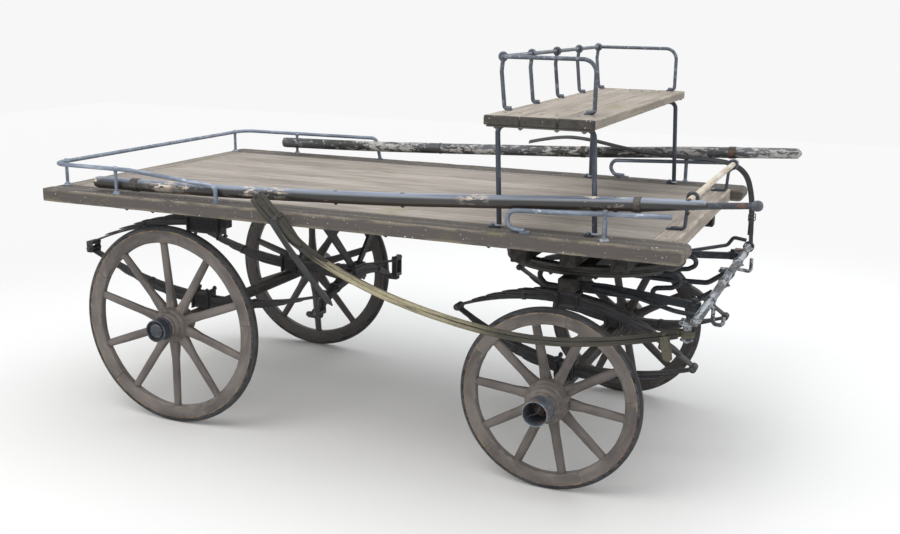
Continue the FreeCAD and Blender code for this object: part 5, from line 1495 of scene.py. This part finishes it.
def cross_spring():
    """The arched spring across the wagon and the double shackles at its ends."""
    x, reach, arch, base = -0.392, 0.452, 0.100, 0.585
    build = Build()
    matrix = (Matrix.Translation((x, 0, base + arch)) @ Matrix.Rotation(math.pi / 2, 4,
        "Z") @ Matrix.Rotation(math.pi, 4, "X"))
    leaf_pack(build, matrix, reach, arch, 0.14)
    for share in (-0.5, 0.5):
        clip(build, matrix, reach, arch, share, 4.2)
    outer = SPRING_WIDE / 2 + 12 * MM
    for sign in (-1, 1):
        eye = side_spring_end(sign, 1)
        spring_eye(build, Vector((x, eye.y, base)), X, 19 * MM, 66 * MM, begin=math.pi / 2)
        for a, b in ((-outer, -SPRING_WIDE / 2 - 1 * MM), (SPRING_WIDE / 2 + 1 * MM, outer)):
            block(build, (eye.x - 16 * MM, eye.y + a, base + 7 * MM),
                (eye.x + 16 * MM, eye.y + b, eye.z + 17 * MM), soft=4 * MM)
        block(build, (x + 0.010, eye.y - outer, base + 6 * MM), (eye.x + 16 * MM, eye.y + outer,
            base + 29 * MM), soft=4 * MM)
        for face in (-1, 1):
            nut(build, (eye.x, eye.y + face * outer, eye.z), Y * face, 15 * MM, 9 * MM, 6)
    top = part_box("cross_spring")[1].z
    block(build, (x - 0.035, -0.061, base + arch - 13 * MM), (x + 0.035, 0.061, top - 1 * MM), soft=5 * MM)
    for y in (-0.045, 0.045):
        for dx in (-0.026, 0.026):
            nut(build, (x + dx, y, base + arch - 12 * MM), -Z, 9 * MM, 8 * MM)
    build.piece("cross_spring_leaves", "bed", [spring_iron], "spring_iron", ["cross_spring"])


for side, sign in SIDES:
    elliptic_spring(side, sign)
    side_spring(side, sign)
    quarter_spring(side, sign)
cross_spring()

# ---------------------------------------------------------------- turntable and draught gear

TIMBER_GAP = 0.235
ROLLERS_Y = (-0.700, 0.310, 0.800)
RAIL_Y, HOOP_Y, CROSS_POST_X = 0.862, 0.776, 1.205


def ring_solid(build, centre, profile, count):
    """A closed section (radius, height, wear) turned about an upright axis."""
    across = Z.orthogonal().normalized()
    other = Z.cross(across)
    points, grain, wear = [], [], []
    for k in range(count):
        angle = 2 * math.pi * k / count
        out = across * math.cos(angle) + other * math.sin(angle)
        for radius, high, w in profile:
            points.append(centre + out * radius + Z * high)
            grain.append(Vector((angle * radius, radius, high)))
            wear.append(w)
    build.add(points, closed_ring_faces(count, len(profile)), grain, wear)


def ring_profile(inner, outer, low, high, soft):
    return [(inner, low + soft, 0.6), (inner + soft, low, 0.8), (outer - soft, low, 0.8),
        (outer, low + soft, 0.8), (outer, high - soft, 0.8), (outer - soft, high, 0.8),
        (inner + soft, high, 0.6), (inner, high - soft, 0.6)]


def turntable_ring(name, body):
    """One plate of the turntable, with bolts where no timber crosses it."""
    low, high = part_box(name)
    centre = Vector((FRONT_X, 0, 0))
    outer = (high.x - low.x) / 2
    inner = outer - 52 * MM
    upper = name.endswith("upper")
    build = Build()
    if upper:
        ring_solid(build, centre, ring_profile(inner, outer, low.z, high.z, 3 * MM), 96)
    else:
        ring_solid(build, centre, ring_profile(inner + 4 * MM, outer - 3 * MM, low.z, high.z - 8 * MM, 5 * MM),
            96)
        ring_solid(build, centre, ring_profile(inner, outer, high.z - 9 * MM, high.z, 3 * MM), 96)
    for k in range(12):
        angle = 2 * math.pi * (k + 0.5) / 12
        spot = centre + Vector((math.cos(angle), math.sin(angle), 0)) * (inner + outer) / 2
        off = abs(spot.x - FRONT_X)
        if not upper and off > 0.06:
            nut(build, (spot.x, spot.y, low.z + 0.5 * MM), -Z, 12 * MM, 9 * MM)
        elif upper and abs(off - TIMBER_GAP) > 0.06 and off > 0.06:
            dome(build, (spot.x, spot.y, high.z - 0.5 * MM), Z, 12 * MM, 5 * MM)
    build.piece(f"{name}_ring", body, [turn_iron], "turntable_iron", [name])


def turntable():
    """Both plates, the timbers on the upper one and the bolster under the lower one."""
    turntable_ring("turntable_upper", "bed")
    turntable_ring("turntable_lower", "forecarriage")
    low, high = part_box("turntable_transoms")
    build = Build()
    for x in (FRONT_X - TIMBER_GAP, FRONT_X, FRONT_X + TIMBER_GAP):
        board(build, (x - 0.038, low.y, low.z), (x + 0.038, high.y, high.z), "Y", soft=6 * MM, rough=0.8 * MM,
            rows=2)
        for y in (-0.40, -0.16, 0.16, 0.40):
            for face in (-1, 1):
                dome(build, (x + face * 0.0372, y, (low.z + high.z) / 2), X * face, 10 * MM, 5 * MM, slot=1)
    build.piece("turntable_timbers", "bed", [frame_wood, dark_bolts], "frame_wood", ["turntable_transoms"])
    low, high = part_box("bolster")
    build = Build()
    board(build, low, high - Z * 0.3 * MM, "Y", soft=7 * MM, rough=0.8 * MM, rows=2)
    for sign in (-1, 1):
        y0, y1 = sorted((sign * 0.36, sign * 0.385))
        block(build, (low.x - 3 * MM, y0, low.z - 3 * MM), (high.x + 3 * MM, y1, high.z - 1 * MM), slot=1)
        for x, face in ((high.x - 1 * MM, X), (low.x + 1 * MM, -X)):
            dome(build, (x, sign * 0.44, (low.z + high.z) / 2), face, 13 * MM, 7 * MM, slot=1)
    build.piece("bolster_timber", "forecarriage", [frame_wood, turn_iron], "frame_wood", ["bolster"])


def roller_bolts():
    """Three spools: a dished head, a waisted neck and a rounded foot."""
    low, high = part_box("roller_bolts")
    tall = (high.z - low.z) / MM
    build = Build()
    for y in ROLLERS_Y:
        at = Vector((ROLLER_X, y, low.z))
        turned(build, at, Z, mm((20, 0, 0.2), (27, 1.5, 0.9), (28, 4, 0.9), (26.5, 7, 0.6), (21, 11, 0.2),
            (19, 20, 0.3), (18.3, 40, 0.5), (19, 58, 0.3), (22, 66, 0.2), (31, 71, 0.5), (36, 72.5, 0.9),
            (37, 75, 1.0), (36, 78, 0.9), (24, tall, 0.6)), 28)
        turned(build, at + Z * (high.z - low.z), Z, mm((13, -1, 0.2), (13, 0.5, 0.6)), 6)
        nut(build, at, -Z, 12 * MM, 8 * MM)
    build.piece("roller_spools", "forecarriage", [bar_iron], "draught_iron", ["roller_bolts"])


def rail_fittings():
    """Collars, nuts and washers where the rails, hoops and seat irons meet the deck."""
    build = Build()
    deck_top, rail_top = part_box("deck_boards")[1].z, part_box("gallery_rail")[1].z
    for x, y in ((-1.661, -0.760), (-1.661, 0.760), (-1.262, -RAIL_Y), (-1.262, RAIL_Y)):
        turned(build, (x, y, deck_top - 1 * MM), Z, mm((20, 0, 0.3), (20, 3.5, 0.8), (17, 5.5, 0.4),
            (15.5, 11, 0.7), (11, 14, 0.3)), 24)
        turned(build, (x, y, rail_top - 27 * MM), Z, mm((9, 0, 0.2), (12, 2, 0.8), (12, 5, 0.8), (9, 7, 0.2)),
            20)
    for sign, hoop_feet in ((-1, (0.718, 1.142)), (1, (0.692, 1.160))):
        turned(build, (CROSS_POST_X, sign * RAIL_Y, deck_top - 1 * MM), Z,
               mm((22, 0, 0.3), (22, 4, 0.8), (16, 9, 0.5), (12, 12, 0.3)), 24)
        for x in hoop_feet:
            turned(build, (x, sign * HOOP_Y, deck_top + 5 * MM), Z, mm((17, 0, 0.4), (16, 4, 0.8),
                (12.5, 8, 0.3)), 20)
            nut(build, (x - 26 * MM, sign * 0.791, deck_top + 6.5 * MM), Z, 12 * MM, 8.5 * MM)
    build.piece("rail_collars", "bed", [collar_iron], "rail_iron")


def dress(material, *names):
    """A CAD part whose shape is right keeps it, with a finished material."""
    for name in names:
        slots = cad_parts[name].data.materials
        slots.clear()
        slots.append(material)


def cross_rail():
    """The wooden pole across the front, its ends a little rounded."""
    low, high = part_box("cross_rail")
    middle, count = (low + high) / 2, 60
    path = [Vector((middle.x, low.y + (high.y - low.y) * k / count, middle.z)) for k in range(count + 1)]
    build = Build()
    tube(build, path, lambda share: 13.8 * MM * min(1.0, 0.6 + 60 * min(share, 1 - share)), 16, X)
    build.piece("cross_rail_pole", "bed", [pale_rail], "rail_wood", ["cross_rail"])


collar_iron = old_iron("rail_collar_iron", (128, 138, 154), (196, 202, 212), worn=0.7, rusty=0.3, rough=0.42,
    metal=0.35)
# light= here is painted highlight streaks too.
post_iron = old_iron("rail_post_iron", (70, 76, 86), (150, 156, 166), source="Z", worn=0.5, rusty=0.16,
    rough=0.42, light=(102, 110, 124), metal=0.35)
stay_iron = old_iron("stay_iron", (54, 58, 64), (112, 120, 130), source="X", worn=0.5, rusty=0.08, rough=0.42,
    light=(78, 86, 96), metal=0.3)
turntable()
roller_bolts()
rail_fittings()
dress(rail_iron, "gallery_rail", "side_rail_near", "side_rail_far")
dress(post_iron, "cross_rail_post_near", "cross_rail_post_far", "seat_hoop_near", "seat_hoop_far")
dress(seat_iron, "seat_back")
dress(spring_iron_cad, "spring_struts")
dress(turn_iron_cad, "kingpin")
dress(stay_iron, "ring_stay_near", "ring_stay_far", "futchell_near", "futchell_far")
dress(bar_iron, "splinter_bar")
cross_rail()


# ---------------------------------------------------------------- floor and light


def make_stage():
    """The pale floor, which fades into the background's own white, the soft lights and the surroundings."""
    low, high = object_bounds()
    mesh = bpy.data.meshes.new("floor")
    reach = 14.0
    mesh.from_pydata([(-reach, -reach, 0), (reach, -reach, 0), (reach, reach, 0), (-reach, reach, 0)], [],
        [(0, 1, 2, 3)])
    floor = bpy.data.objects.new("floor", mesh)
    bpy.context.scene.collection.objects.link(floor)
    f = Finish("floor_paint", "X")
    f.shader.inputs["Roughness"].default_value = 0.95
    f.shader.inputs["Specular IOR Level"].default_value = 0.1
    cloud = f.noise(0.6, (1, 1, 1), 3, 0.5)
    spread = f.make("ShaderNodeVectorMath", operation="LENGTH")
    f.put(spread.inputs[0], f.make("ShaderNodeTexCoord").outputs["Object"])
    away = spread.outputs["Value"]
    away = f.level(away, 2.6, 6.0)
    f.put(f.shader.inputs["Base Color"], f.mix(away, f.mix(cloud, shade(222, 222, 222), shade(226, 226, 225)),
        (0.0, 0.0, 0.0, 1)))
    f.put(f.shader.inputs["Emission Color"], f.mix(cloud, (0.925, 0.925, 0.925, 1), (0.93, 0.93, 0.93, 1)))
    f.put(f.shader.inputs["Emission Strength"], away)
    mesh.materials.append(f.material)
    world = bpy.data.worlds.new("studio")
    world.use_nodes = True
    back = world.node_tree.nodes["Background"]
    back.inputs["Color"].default_value = (0.93, 0.93, 0.93, 1)
    back.inputs["Strength"].default_value = 1.0
    bpy.context.scene.world = world
    middle = (low + high) / 2
    for name, place, power, wide, tone in (("key", (-1.5, -4.5, 6.5), 210, 5.0, (1.0, 0.985, 0.96)),
            ("sky", (0.5, 0.8, 7.5), 190, 7.0, (0.93, 0.965, 1.0)),
            ("rim", (3.0, 5.5, 4.5), 90, 4.0, (0.95, 0.97, 1.0))):
        data = bpy.data.lights.new(name, "AREA")
        data.energy, data.shape, data.size, data.color = power, "DISK", wide, tone
        light = bpy.data.objects.new(name, data)
        bpy.context.scene.collection.objects.link(light)
        light.location = place
        light.rotation_mode = "QUATERNION"
        light.rotation_quaternion = (middle - light.location).to_track_quat("-Z", "Y")


make_stage()
bpy.context.scene.view_settings.view_transform = "Standard"
